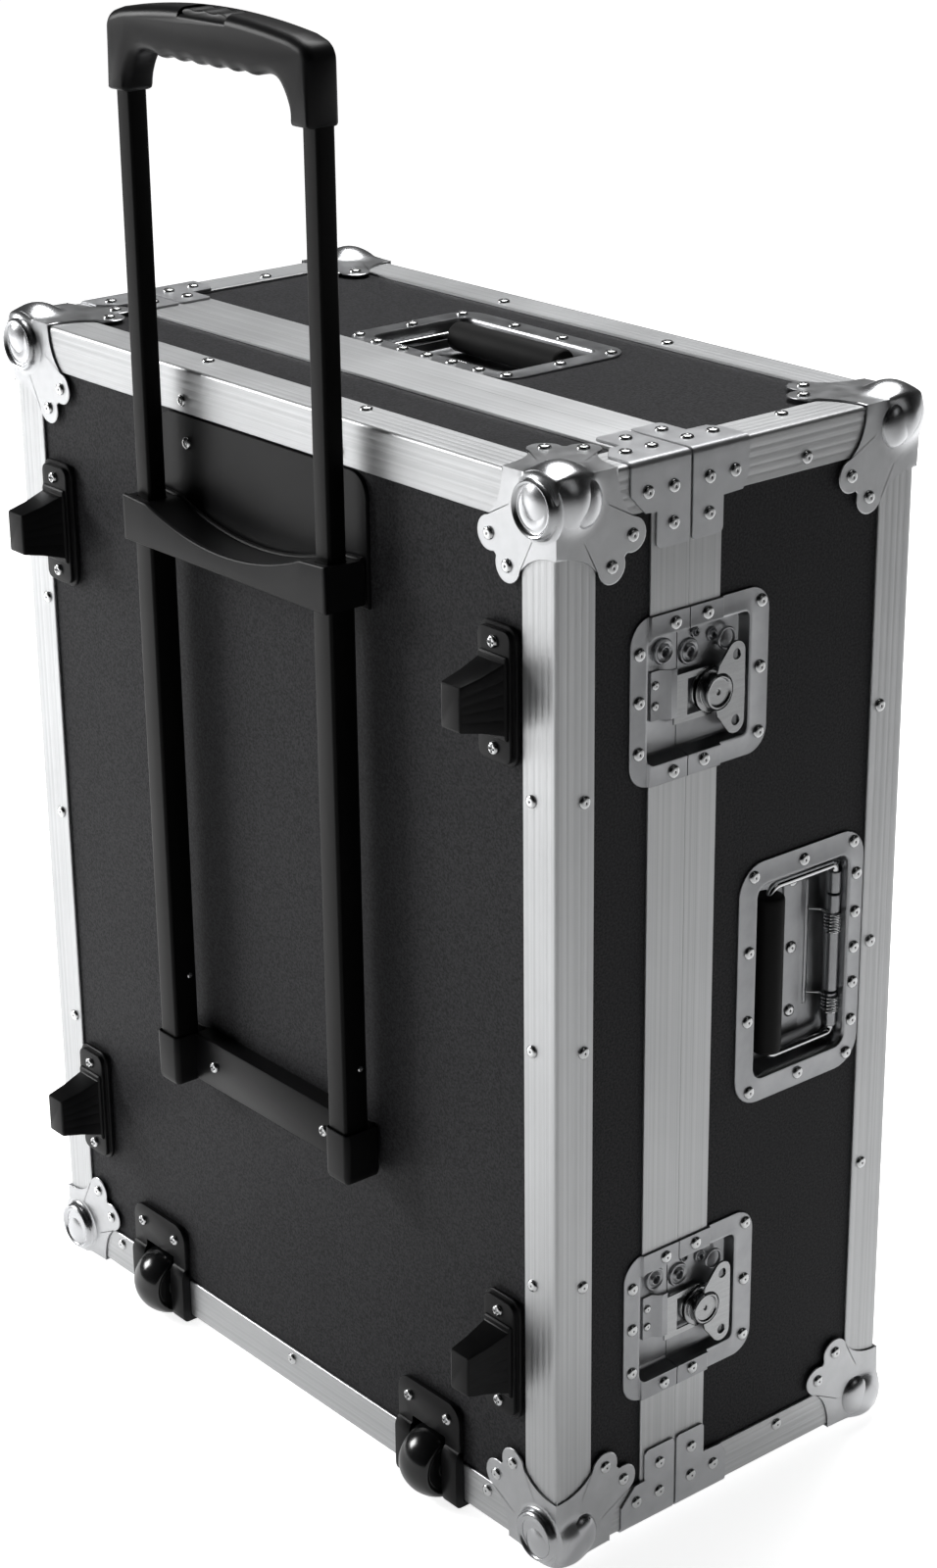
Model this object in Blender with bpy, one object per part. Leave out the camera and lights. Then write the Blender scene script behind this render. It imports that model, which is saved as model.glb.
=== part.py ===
"""Mixer flight case: a shallow tray with feet, wheels and a telescopic handle,
and a deep lid with four butterfly latches and two folding carry handles.

Every length is in millimetres in the case frame: x across the trolley face from
its middle, y from the trolley face into the case, z up from the bottom face.
finish() turns the lengths into metres and stands the part on the origin.
"""
import math

import bmesh
import bpy
from mathutils import Matrix, Vector

MM = 0.001

# Case body, to the outer faces of the aluminium edge profiles
WIDTH = 562.0
DEPTH = 294.0
HEIGHT = 720.0
SIDE = WIDTH / 2
SEAM = 103.5
SEAM_GAP = 0.15
GAP = 0.3
WINDOW_GAP = 0.4
PAST = 6.0

# Edge profiles, boards, closure rims and foam
LEG = 30.0
LEG_THICK = 1.7
EDGE_BEVEL = 3.0
BOARD_OUT = 2.0
BOARD_IN = 9.0
TRAY_BOARD_TO = 92.0
LID_BOARD_FROM = 2 * SEAM - TRAY_BOARD_TO
RIM_FROM = 73.0
RIM_TO = 129.5
RIM_WEB_FROM = 80.0
RIM_WEB_TO = 2 * SEAM - RIM_WEB_FROM
RIM_INNER = 12.3
TONGUE = (4.0, 7.0)
TONGUE_HIGH = 3.5
TONGUE_GAP = 0.4
LATCH_CUT = 11.0
HANDLE_CUT = 30.0
FOAM_THICK = 10.0
FOAM_LAP = 5.0
FOAM_GAP = 0.5

# Ball corners
BALL_RADIUS = 20.8
BALL_INSET = 12.0
BALL_PROUD = BALL_RADIUS - BALL_INSET
PLATE_LOW = 0.3
PLATE_HIGH = 1.5
PLATE_REACH = 45.0
PLATE_NOTCH = 52.5
LOBE_NEAR = 41.0
LOBE_FAR = 57.0
LOBE_RADIUS = 10.5
DISC_AT = (14.0, 17.0)
DISC_RADIUS = 18.5
DISC_PROUD = 7.6

# Rivets and screws
RIVET_RADIUS = 3.6
RIVET_HEIGHT = 1.7
RIVET_SUNK = 0.4
BAR_RIVET_INSET = 22.0
UPRIGHT_RIVETS = (197.0, 360.0, 523.0)
TOP_RIVETS = (-82.0, 82.0)
BOTTOM_RIVETS = (-213.0, 0.0, 213.0)
LID_END_RIVET = 199.0
SCREW_RADIUS = 4.0
SCREW_HEIGHT = 2.2

# Butterfly latches; y from the trolley face, z from the middle of the latch
LATCH_CENTRES = (572.5, 147.0)
LATCH_HALF = 53.5
LATCH_FROM = 58.0
LATCH_TO = 171.5
LATCH_STEP = (71.2, 131.0)
LATCH_OPEN = (72.0, 155.0)
LATCH_OPEN_HALF = 39.5
LATCH_FLOOR = -9.5
LATCH_AXIS_Y = 128.5
LATCH_AXIS_Z = -6.0
SHEET = 1.2
LOW_FLANGE = -1.7
BOSS_RADIUS = 11.0
DRUM_RADIUS = 14.0
WING_AXIS_OUT = 0.3
WING_REACH = 21.0
WING_HALF = 29.5
WING_THICK = 1.5
WING_CORNER = 7.0
PIN_RADIUS = 1.1
HOOK_FROM = 98.0
HOOK_HALF = 15.5
HOOK_LEVELS = (-6.4, -5.2)
HOOK_TRAVEL = 8.0
LIP_LEVELS = (-4.8, -3.8)
TAB_OUT = -2.4
TAB_END_Z = 24.0
TAB_ROUND = 5.0
TAB_HOLE = 3.2

# Carry handles; u from the hinge edge of the frame, v along the hinge axis
FRAME_U = 111.4
FRAME_V = 84.0
FRAME_CORNER = 20.0
DISH_U = (13.0, 95.5)
DISH_V = 67.5
DISH_FLOOR = -20.0
HINGE_U = 18.4
KNUCKLE_RADIUS = 4.2
KNUCKLES = ((-54.5, -31.0), (-29.5, 38.5), (40.0, 54.5))
STOP_THICK = 1.0
GRIP_U = 77.0
ROD_OUT = -8.3
ROD_RADIUS = 2.75
ROD_HALF = 59.5
ROD_BEND = 4.5
SLEEVE_RADIUS = 10.0
SLEEVE_END = 8.5
SIDE_HANDLE_EDGE = 263.6
SIDE_HANDLE_Z = 360.0
TOP_HANDLE_EDGE = 129.9

# Trolley handle
TUBE_X = (86.0, 104.5)
TUBE_Y = (-26.6, -7.0)
TUBE_WALL = 1.4
TUBE_ZS = (216.3, 627.7)
TUBE_CORNER = 2.2
INNER_X = (87.8, 102.4)
INNER_Y = (-24.9, -11.0)
INNER_WALL = 1.2
INNER_FROM = 520.0
GUIDE_FROM = 498.0
COLLAR_FROM = 607.0
COLLAR_TO = 638.0
COLLAR_HALF = 107.5
COLLAR_Y = (-33.0, -1.3)
COLLAR_STEP = 627.0
DIP_HALF = 82.0
DIP_LOW = 620.0
DIP_RADIUS = 224.6
BACKING_HALF = 109.0
BACKING_ZS = (604.0, 689.0)
BACKING_FRONT = -1.0
BACKING_RIVET = (77.0, 671.0)
BRACKET_ZS = (215.0, 250.0)
BRIDGE_FRONT = -12.0
BRIDGE_SCREW = (62.0, 232.0)
ROD_X = 95.7
ROD_Y = -19.0
ROD_TO = 513.0

# Grip and button
GRIP_HALF = 104.0
GRIP_LEG = 84.0
GRIP_Y = (-31.0, -9.0)
GRIP_FROM = 895.5
GRIP_TOP = 953.2
GRIP_CROWN = 9.0
GRIP_BEVEL = 3.0
SHOULDER = 10.0
SHOULDER_Z = 933.5
FINGER_Z = 919.6
FINGER_WAVE = 2.6
FINGER_PITCH = 36.0
ARCH_AT = 62.0
ARCH_TO = 922.8
SOCKET_TO = 925.0
CHANNEL_HALF = 98.7
CHANNEL_ZS = (924.0, 936.0)
POCKET_HALF = 24.0
POCKET_Y = (-28.3, -11.5)
POCKET_FLOOR = 941.3
LIP_TOP = 948.5
BUTTON_ZS = (945.3, 952.6)
STEM_HALF = 8.0
BAR_ZS = (931.2, 934.0)

# Feet on the trolley face
FOOT_X = 232.5
FOOT_Z = 223.5
FOOT_FRONT = -39.0
FOOT_PLATE = (17.0, 43.5)
FOOT_BASE = -6.0
FOOT_SCREW = 33.0

# Wheels and their housings
WHEEL_X = 156.5
WHEEL_Y = 3.0
WHEEL_Z = 17.3
WHEEL_RADIUS = 26.0
WHEEL_HALF = 14.5
WHEEL_END = 20.0
SLOT_HALF = 17.0
SLOT_TO = (31.3, 44.4)
WELL_WALL = 3.2
WELL_TO = (33.6, 46.6)
HOUSING_HALF = 32.0
HOUSING_TOP = 73.0
HOUSING_CORNER = 12.0
HOUSING_PLATE = -3.5
HOUSING_SCREW = (20.0, 60.0)
SHELL_Y = -7.0
AXLE_RADIUS = 3.0

CASE_MIDDLE_Y = (FOOT_FRONT + DEPTH + BALL_PROUD) / 2
FACE_AT = {"x": (-SIDE, SIDE), "y": (0.0, DEPTH), "z": (0.0, HEIGHT)}
OTHER_AXES = {"x": "yz", "y": "xz", "z": "xy"}

ALUMINIUM = ((0.60, 0.61, 0.62), 0.38, 1.0)
CHROME = ((0.78, 0.79, 0.80), 0.14, 1.0)
STEEL = ((0.62, 0.63, 0.64), 0.25, 1.0)
PAINT = ((0.028, 0.028, 0.030), 0.40, 0.0)
LAMINATE = ((0.022, 0.022, 0.024), 0.45, 0.0)
PLASTIC = ((0.028, 0.028, 0.030), 0.50, 0.0)
RUBBER = ((0.030, 0.030, 0.031), 0.80, 0.0)
FOAM = ((0.040, 0.040, 0.043), 0.95, 0.0)


# Shapes

def at(axis, u, v, w):
    """Point with w along the axis and u, v along the other two in x, y, z order."""
    spots = {"x": (w, u, v), "y": (u, w, v), "z": (u, v, w)}
    return spots[axis]


def inward(axis, side, distance):
    """Coordinate at a distance inside the low (0) or high (1) outer face."""
    low, high = FACE_AT[axis]
    if side == 0:
        return low + distance
    return high - distance


def skin(mesh, rings, closed=False):
    """Join rings of equal length with faces, and cap the ends unless closed."""
    loops = [[mesh.verts.new(point) for point in ring] for ring in rings]
    pairs = list(zip(loops, loops[1:]))
    if closed:
        pairs.append((loops[-1], loops[0]))
    for first, second in pairs:
        count = len(first)
        for i in range(count):
            j = (i + 1) % count
            mesh.faces.new((first[i], first[j], second[j], second[i]))
    if not closed:
        mesh.faces.new(loops[0][::-1])
        mesh.faces.new(loops[-1])
    bmesh.ops.recalc_face_normals(mesh, faces=mesh.faces)
    return mesh


def prism(outline, axis, low, high, mesh=None):
    """Straight body along an axis with the outline as its section."""
    mesh = mesh or bmesh.new()
    rings = [[at(axis, u, v, w) for u, v in outline] for w in (low, high)]
    return skin(mesh, rings)


def box(xs, ys, zs, mesh=None):
    """Block between two values of x, y and z."""
    outline = ((ys[0], zs[0]), (ys[1], zs[0]), (ys[1], zs[1]), (ys[0], zs[1]))
    return prism(outline, "x", xs[0], xs[1], mesh)


def arc(middle_u, middle_v, radius, start, end, steps):
    """Points on an arc between two angles in degrees."""
    points = []
    for i in range(steps + 1):
        angle = math.radians(start + (end - start) * i / steps)
        points.append((middle_u + radius * math.cos(angle), middle_v + radius * math.sin(angle)))
    return points


def grown(pair, by):
    """A pair of limits moved apart."""
    return pair[0] - by, pair[1] + by


def rounded(us, vs, radius, steps=3):
    """Outline of a rectangle with rounded corners."""
    points = []
    points += arc(us[1] - radius, vs[1] - radius, radius, 0, 90, steps)
    points += arc(us[0] + radius, vs[1] - radius, radius, 90, 180, steps)
    points += arc(us[0] + radius, vs[0] + radius, radius, 180, 270, steps)
    points += arc(us[1] - radius, vs[0] + radius, radius, 270, 360, steps)
    return points


def turned(profile, axis, u, v, sides, closed=False, mesh=None):
    """Round body about a line along the axis, from (radius, along) pairs."""
    mesh = mesh or bmesh.new()
    rings = []
    for radius, along in profile:
        circle = arc(u, v, radius, 0, 360, sides)[:-1]
        rings.append([at(axis, a, b, along) for a, b in circle])
    return skin(mesh, rings, closed)


def as_object(name, mesh):
    """Scene object made from a working mesh."""
    data = bpy.data.meshes.new(name)
    mesh.to_mesh(data)
    result = bpy.data.objects.new(name, data)
    bpy.context.scene.collection.objects.link(result)
    return result


def combine(body, tool, operation):
    """Exact boolean of two working meshes; both are used up."""
    first = as_object("body", body)
    second = as_object("tool", tool)
    second.hide_render = True
    second.display_type = "WIRE"
    modifier = first.modifiers.new("combine", "BOOLEAN")
    modifier.operation = operation
    modifier.solver = "EXACT"
    modifier.object = second
    bpy.context.view_layer.update()
    result = bmesh.new()
    result.from_object(first, bpy.context.evaluated_depsgraph_get())
    for used in (first, second):
        bpy.data.objects.remove(used)
    body.free()
    tool.free()
    return result


def cut(body, tool):
    """Take the tool away from the body."""
    return combine(body, tool, "DIFFERENCE")


def join(body, *others):
    """Unite overlapping bodies into one."""
    for other in others:
        body = combine(body, other, "UNION")
    return body


def copy_into(mesh, part, matrix):
    """Add a moved or mirrored copy of a part to a mesh."""
    data = bpy.data.meshes.new("copy")
    part.to_mesh(data)
    data.transform(matrix)
    if matrix.determinant() < 0:
        data.flip_normals()
    mesh.from_mesh(data)
    bpy.data.meshes.remove(data)
    return mesh


def frame_matrix(origin, u_way, v_way, out_way):
    """Matrix from local (u, v, out) to the case frame."""
    matrix = Matrix.Identity(4)
    for column, way in enumerate((u_way, v_way, out_way, origin)):
        for row in range(3):
            matrix[row][column] = way[row]
    return matrix


def material_for(name, look):
    """Own Principled material from a colour, roughness and metal value."""
    colour, roughness, metallic = look
    material = bpy.data.materials.new(name)
    material.use_nodes = True
    shader = material.node_tree.nodes["Principled BSDF"]
    shader.inputs["Base Color"].default_value = (*colour, 1.0)
    shader.inputs["Roughness"].default_value = roughness
    shader.inputs["Metallic"].default_value = metallic
    material.diffuse_color = (*colour, 1.0)
    return material


def finish(name, mesh, look, origin=None):
    """Named object in metres, with its origin at a case point or the part origin."""
    bmesh.ops.recalc_face_normals(mesh, faces=mesh.faces)
    shift = Vector((0.0, -CASE_MIDDLE_Y, BALL_PROUD))
    place = Vector((0.0, 0.0, 0.0))
    if origin is not None:
        place = (Vector(origin) + shift) * MM
    mesh.transform(Matrix.Translation(-place) @ Matrix.Scale(MM, 4) @ Matrix.Translation(shift))
    result = as_object(name, mesh)
    mesh.free()
    result.location = place
    result.data.materials.append(material_for(name, look))
    result.data.shade_smooth()
    result.data.set_sharp_from_angle(angle=math.radians(35))
    return result


# Boxes, edge frames and closure rims

def shell_block(depth, near, far):
    """Block at a depth under the outer planes of the four walls, between two values of y."""
    return box((depth - SIDE, SIDE - depth), (near, far), (depth, HEIGHT - depth))


def latch_windows():
    """Blocks that clear the four latch dishes out of walls, rims and foam."""
    mesh = bmesh.new()
    half = LATCH_OPEN_HALF + SHEET + WINDOW_GAP
    ys = grown(LATCH_OPEN, SHEET + WINDOW_GAP)
    for centre in LATCH_CENTRES:
        for sign in (-1, 1):
            xs = sorted((sign * (SIDE - LATCH_CUT), sign * (SIDE + PAST)))
            box(xs, ys, (centre - half, centre + half), mesh)
    return mesh


def handle_windows():
    """Blocks that clear the two handle dishes out of walls and foam."""
    mesh = bmesh.new()
    low, high = grown(DISH_U, SHEET + WINDOW_GAP)
    half = DISH_V + SHEET + WINDOW_GAP
    ys = (SIDE_HANDLE_EDGE - high, SIDE_HANDLE_EDGE - low)
    zs = (SIDE_HANDLE_Z - half, SIDE_HANDLE_Z + half)
    box((SIDE - HANDLE_CUT, SIDE + PAST), ys, zs, mesh)
    ys = (TOP_HANDLE_EDGE + low, TOP_HANDLE_EDGE + high)
    box((-half, half), ys, (HEIGHT - HANDLE_CUT, HEIGHT + PAST), mesh)
    return mesh


def wheel_windows():
    """Blocks that clear the two wheel wells out of the tray."""
    mesh = bmesh.new()
    half = SLOT_HALF + WELL_WALL + GAP
    ys, zs = ((-PAST, limit + WINDOW_GAP) for limit in WELL_TO)
    for middle in (-WHEEL_X, WHEEL_X):
        box((middle - half, middle + half), ys, zs, mesh)
    return mesh


def boxes():
    """Plywood boxes of the tray and of the lid, five boards each."""
    near = cut(shell_block(BOARD_OUT, BOARD_OUT, TRAY_BOARD_TO),
               shell_block(BOARD_IN, BOARD_IN, TRAY_BOARD_TO + PAST))
    near = cut(near, latch_windows())
    finish("tray_box", cut(near, wheel_windows()), LAMINATE)
    far = cut(shell_block(BOARD_OUT, LID_BOARD_FROM, DEPTH - BOARD_OUT),
              shell_block(BOARD_IN, LID_BOARD_FROM - PAST, DEPTH - BOARD_IN))
    far = cut(far, latch_windows())
    finish("lid_box", cut(far, handle_windows()), LAMINATE)


def edge_frame(y_side, end):
    """Angle profiles along every edge of one half, from its face to a value of y."""
    face = inward("y", y_side, 0)
    frame = shell_block(0.0, *sorted((face, end)))
    corner_edges = []
    for edge in frame.edges:
        along_y = abs(edge.verts[0].co.y - edge.verts[1].co.y) > 1
        on_face = all(abs(vert.co.y - face) < 1 for vert in edge.verts)
        if along_y or on_face:
            corner_edges.append(edge)
    bmesh.ops.bevel(frame, geom=corner_edges, offset=EDGE_BEVEL, segments=2, affect="EDGES",
                    profile=0.5)
    beyond = end + (PAST if y_side == 0 else -PAST)
    hollow = sorted((inward("y", y_side, LEG_THICK), beyond))
    frame = cut(frame, shell_block(LEG_THICK, *hollow))
    xs = (LEG - SIDE, SIDE - LEG)
    zs = (LEG, HEIGHT - LEG)
    through = grown((face, face), PAST)
    behind = sorted((inward("y", y_side, LEG), beyond))
    frame = cut(frame, box(xs, through, zs))
    frame = cut(frame, box(grown((-SIDE, SIDE), PAST), behind, zs))
    return cut(frame, box(xs, behind, grown((0.0, HEIGHT), PAST)))


def edge_frames():
    """Riveted edge frames; the wheel wells part the lower bar of the tray."""
    near = join(edge_frame(0, RIM_FROM - GAP), bar_rivets(0))
    near = cut(near, wheel_windows())
    whole = bpy.data.meshes.new("frame")
    near.to_mesh(whole)
    near.free()
    section = grown((0.0, LEG), PAST)
    for name, operation in (("tray_edge_frame", "DIFFERENCE"),
                            ("tray_bottom_edge_middle", "INTERSECT")):
        piece = bmesh.new()
        piece.from_mesh(whole)
        span = box((-WHEEL_X, WHEEL_X), section, section)
        finish(name, combine(piece, span, operation), ALUMINIUM)
    far = edge_frame(1, RIM_TO + GAP)
    finish("lid_edge_frame", join(far, bar_rivets(1)), ALUMINIUM)


def rim(section):
    """Mitred ring with a section of (depth under the outer face, y) pairs."""
    rings = []
    for x_side, z_side in ((0, 0), (1, 0), (1, 1), (0, 1)):
        ring = [(inward("x", x_side, d), y, inward("z", z_side, d)) for d, y in section]
        rings.append(ring)
    return skin(bmesh.new(), rings, closed=True)


def closure_rims():
    """Tongue rim of the tray and groove rim of the lid, with their corner brackets."""
    web = BOARD_IN + GAP
    edge = SEAM - SEAM_GAP
    stop = TRAY_BOARD_TO + GAP
    tip = edge + TONGUE_HIGH
    near = [(0.0, RIM_FROM), (LEG_THICK, RIM_FROM), (LEG_THICK, stop), (web, stop),
            (web, RIM_WEB_FROM), (RIM_INNER, RIM_WEB_FROM), (RIM_INNER, edge), (TONGUE[1], edge),
            (TONGUE[1], tip), (TONGUE[0], tip), (TONGUE[0], edge), (0.0, edge)]
    tray = join(cut(rim(near), latch_windows()), *band_brackets(0))
    finish("tray_closure_rim", tray, ALUMINIUM)
    edge = SEAM + SEAM_GAP
    stop = LID_BOARD_FROM - GAP
    groove = grown(TONGUE, TONGUE_GAP)
    floor = edge + TONGUE_HIGH + GAP
    far = [(0.0, edge), (groove[0], edge), (groove[0], floor), (groove[1], floor),
           (groove[1], edge), (RIM_INNER, edge), (RIM_INNER, RIM_WEB_TO), (web, RIM_WEB_TO),
           (web, stop), (LEG_THICK, stop), (LEG_THICK, RIM_TO), (0.0, RIM_TO)]
    lid = join(cut(rim(far), latch_windows()), *band_brackets(1))
    finish("lid_closure_rim", lid, ALUMINIUM)


def foam_linings():
    """Soft linings of the tray and of the lid, cut out at wells and dishes."""
    outer = BOARD_IN + GAP
    step = RIM_INNER + GAP
    inner = outer + FOAM_THICK
    near = join(shell_block(outer, outer, RIM_WEB_FROM - GAP),
                shell_block(step, RIM_WEB_FROM - FOAM_LAP, SEAM - FOAM_GAP))
    near = cut(near, shell_block(inner, inner, SEAM + PAST))
    near = cut(near, latch_windows())
    finish("tray_foam_lining", cut(near, wheel_windows()), FOAM)
    far = join(shell_block(outer, RIM_WEB_TO + GAP, DEPTH - outer),
               shell_block(step, SEAM + FOAM_GAP, RIM_WEB_TO + FOAM_LAP))
    far = cut(far, shell_block(inner, SEAM - PAST, DEPTH - inner))
    far = cut(far, latch_windows())
    finish("lid_foam_lining", cut(far, handle_windows()), FOAM)


# Ball corners, band brackets and rivets

def lobe_outline():
    """Flange outline by its distances from the two edges of a face."""
    half = [(-PLATE_HIGH, PLATE_REACH), (8.0, PLATE_REACH + 0.6), (19.5, PLATE_REACH + 3.6)]
    half += arc(LOBE_NEAR, LOBE_FAR, LOBE_RADIUS, 165, -20, 4)
    mirrored = [(v, u) for u, v in reversed(half)]
    return half + [(PLATE_NOTCH, PLATE_NOTCH)] + mirrored + [(-PLATE_HIGH, -PLATE_HIGH)]


def rivet(mesh, axis, u, v, base, way=-1):
    """Low six-sided rivet head on a face at a value of the axis, pointing along or against it."""
    foot = base - way * RIVET_SUNK
    ring = [at(axis, a, b, foot) for a, b in arc(u, v, RIVET_RADIUS, 0, 360, 6)[:-1]]
    rim_verts = [mesh.verts.new(point) for point in ring]
    tip = mesh.verts.new(at(axis, u, v, base + way * RIVET_HEIGHT))
    for i in range(6):
        mesh.faces.new((rim_verts[i], rim_verts[(i + 1) % 6], tip))
    mesh.faces.new(rim_verts[::-1])
    bmesh.ops.recalc_face_normals(mesh, faces=mesh.faces)
    return mesh


def ball_corner(with_disc):
    """One ball corner by its distances from the three outer faces."""
    outline = lobe_outline()
    plates = [prism(outline, axis, -PLATE_HIGH, -PLATE_LOW) for axis in "xyz"]
    middle = Matrix.Translation((BALL_INSET, BALL_INSET, BALL_INSET))
    ball = bmesh.new()
    bmesh.ops.create_uvsphere(ball, u_segments=16, v_segments=8, radius=BALL_RADIUS, matrix=middle)
    corner = join(plates[0], plates[1], plates[2], ball)
    if with_disc:
        profile = ((DISC_RADIUS, -PLATE_LOW - 0.5), (DISC_RADIUS, 1.0 - DISC_PROUD),
                   (DISC_RADIUS - 1.2, -DISC_PROUD))
        corner = join(corner, turned(profile, "y", *DISC_AT, 14))
    heads = bmesh.new()
    for axis in "xyz":
        rivet(heads, axis, LOBE_NEAR, LOBE_FAR, -PLATE_HIGH)
        rivet(heads, axis, LOBE_FAR, LOBE_NEAR, -PLATE_HIGH)
    corner = join(corner, heads)
    inside = (-PLATE_LOW, LOBE_FAR + LOBE_RADIUS + PAST)
    return cut(corner, box(inside, inside, inside))


def corner_matrix(x_side, y_side, z_side):
    """Matrix from corner distances to the case frame."""
    origin = (inward("x", x_side, 0), inward("y", y_side, 0), inward("z", z_side, 0))
    ways = [1 - 2 * side for side in (x_side, y_side, z_side)]
    return frame_matrix(origin, (ways[0], 0, 0), (0, ways[1], 0), (0, 0, ways[2]))


def corner_name(x_side, z_side):
    """Words for a corner seen from the trolley face."""
    return ("bottom", "top")[z_side] + "_" + ("left", "right")[x_side]


def ball_corners():
    """Four ball corners with stacking discs on the tray, four plain on the lid."""
    for y_side, half in ((0, "tray"), (1, "lid")):
        part = ball_corner(y_side == 0)
        for x_side in (0, 1):
            for z_side in (0, 1):
                mesh = copy_into(bmesh.new(), part, corner_matrix(x_side, y_side, z_side))
                finish(half + "_ball_corner_" + corner_name(x_side, z_side), mesh, CHROME)
        part.free()


def band_brackets(y_side):
    """Riveted angle plates that wrap the corner edges on one side of the seam."""
    high = -PLATE_HIGH
    seam = SEAM - 1.2
    reach = 53.0
    outline = [(high, seam), (reach, seam), (reach, 76.0), (30.5, 76.0), (30.5, 67.0),
               (18.0, 55.5), (high, 55.5)]
    spots = ((18.0, 68.6), (18.0, 89.0), (40.0, 89.0))
    seat_ys = (90.0, 100.0)
    if y_side:
        seam = SEAM + 0.9
        outline = [(high, seam), (reach, seam), (reach, 129.3), (30.0, 129.3), (30.0, 145.0),
                   (21.0, 150.0), (high, 150.0)]
        spots = ((18.0, 138.0), (18.0, 117.4), (40.0, 117.6))
        seat_ys = (2 * SEAM - 100.0, 2 * SEAM - 90.0)
    side = prism([(y, d) for d, y in outline], "x", high, -PLATE_LOW)
    end = prism(outline, "z", high, -PLATE_LOW)
    heads = bmesh.new()
    for d, y in spots:
        rivet(heads, "x", y, d, high)
        rivet(heads, "z", d, y, high)
    inside = (-PLATE_LOW, reach + LOBE_FAR)
    part = cut(join(side, end, heads), box(inside, (0.0, DEPTH), inside))
    seat_out = (high + 0.4, 0.5)
    seat_reach = (0.4, reach - 3.0)
    part = join(part, box(seat_out, seat_ys, seat_reach), box(seat_reach, seat_ys, seat_out))
    pieces = []
    for x_side in (0, 1):
        for z_side in (0, 1):
            pieces.append(copy_into(bmesh.new(), part, corner_matrix(x_side, 0, z_side)))
    part.free()
    return pieces


def bar_rivets(y_side):
    """Rivet heads along the edge profiles of one half of the case."""
    mesh = bmesh.new()
    near = inward("y", y_side, BAR_RIVET_INSET)
    face = inward("y", y_side, 0)
    way = -1 if y_side == 0 else 1
    for x_side in (0, 1):
        edge = inward("x", x_side, BAR_RIVET_INSET)
        for z in UPRIGHT_RIVETS:
            rivet(mesh, "x", near, z, inward("x", x_side, 0), 2 * x_side - 1)
            rivet(mesh, "y", edge, z, face, way)
    for z_side, row in ((0, BOTTOM_RIVETS), (1, TOP_RIVETS)):
        edge = inward("z", z_side, BAR_RIVET_INSET)
        for x in row:
            rivet(mesh, "y", x, edge, face, way)
            rivet(mesh, "z", x, near, inward("z", z_side, 0), 2 * z_side - 1)
    if y_side == 1:
        end = LID_END_RIVET
        for x_side in (0, 1):
            for z_side in (0, 1):
                edge = inward("z", z_side, BAR_RIVET_INSET)
                rivet(mesh, "x", end, edge, inward("x", x_side, 0), 2 * x_side - 1)
                edge = inward("x", x_side, BAR_RIVET_INSET)
                rivet(mesh, "z", edge, end, inward("z", z_side, 0), 2 * z_side - 1)
    return mesh


# Butterfly latches

def latch_matrix(centre, sign):
    """Matrix from latch (y, z, out) to the case frame on one side."""
    return frame_matrix((sign * SIDE, 0, centre), (0, 1, 0), (0, 0, 1), (sign, 0, 0))


def latch_places():
    """Name, height and side of each latch."""
    places = []
    for level, centre in zip(("upper", "lower"), LATCH_CENTRES):
        for side, sign in (("right", 1), ("left", -1)):
            places.append((level + "_" + side, centre, sign))
    return places


def latch_flange(opening):
    """Flange of the latch dish, which steps up over the closure band."""
    low = LOW_FLANGE
    high = PLATE_LOW
    levels = (low, low, high, high, low, low)
    ends = grown((LATCH_FROM, LATCH_TO), PAST)
    section = []
    for wider, lift in ((0.0, 0.0), (SHEET, SHEET)):
        step = grown(LATCH_STEP, wider)
        ys = (ends[0], step[0], step[0], step[1], step[1], ends[1])
        line = [(y, level + lift) for y, level in zip(ys, levels)]
        section += line if lift == 0.0 else line[::-1]
    half = LATCH_HALF + PAST
    rings = [[(y, z, out) for y, out in section] for z in (-half, half)]
    flange = skin(bmesh.new(), rings)
    limits = rounded((LATCH_FROM, LATCH_TO), (-LATCH_HALF, LATCH_HALF), 16.0)
    flange = combine(flange, prism(limits, "z", -PAST, PAST), "INTERSECT")
    return cut(flange, prism(opening, "z", -PAST, PAST))


def latch_tub(opening):
    """Walls and floor of the latch dish, raised at the sides to meet the step."""
    middle = sum(LATCH_OPEN) / 2

    def ring(grow, out):
        points = []
        for y, z in opening:
            points.append((y + math.copysign(grow, y - middle), z + math.copysign(grow, z), out))
        return points

    top = PLATE_LOW + SHEET / 3
    outer = skin(bmesh.new(), [ring(SHEET, LATCH_FLOOR - SHEET), ring(SHEET, top)])
    tub = cut(outer, skin(bmesh.new(), [ring(0.0, LATCH_FLOOR), ring(0.0, top + PAST)]))
    level = LOW_FLANGE + SHEET - 0.2
    step = grown(LATCH_STEP, SHEET / 2)
    ends = grown(LATCH_OPEN, PAST)
    zs = grown((-LATCH_HALF, LATCH_HALF), PAST)
    tub = cut(tub, box((ends[0], step[0]), zs, (level, level + PAST)))
    return cut(tub, box((step[1], ends[1]), zs, (level, level + PAST)))


def latch_heads(spots):
    """Rivet heads of a latch frame from (y, z, surface height) triples."""
    mesh = bmesh.new()
    for y, z, base in spots:
        rivet(mesh, "z", y, z, base, 1)
    return mesh


def keeper_plate():
    """Bent keeper plate on the floor of the tray half."""
    foot = LATCH_FLOOR - 0.3
    top = LATCH_FLOOR + 1.0
    low, high = LIP_LEVELS
    section = [(82.0, foot), (90.2, foot), (95.0, low), (99.0, low), (99.0, high), (94.6, high),
               (89.6, top), (82.0, top)]
    zs = (LATCH_AXIS_Z - 10.5, LATCH_AXIS_Z + 20.5)
    rings = [[(y, z, out) for y, out in section] for z in zs]
    return skin(bmesh.new(), rings)


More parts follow.
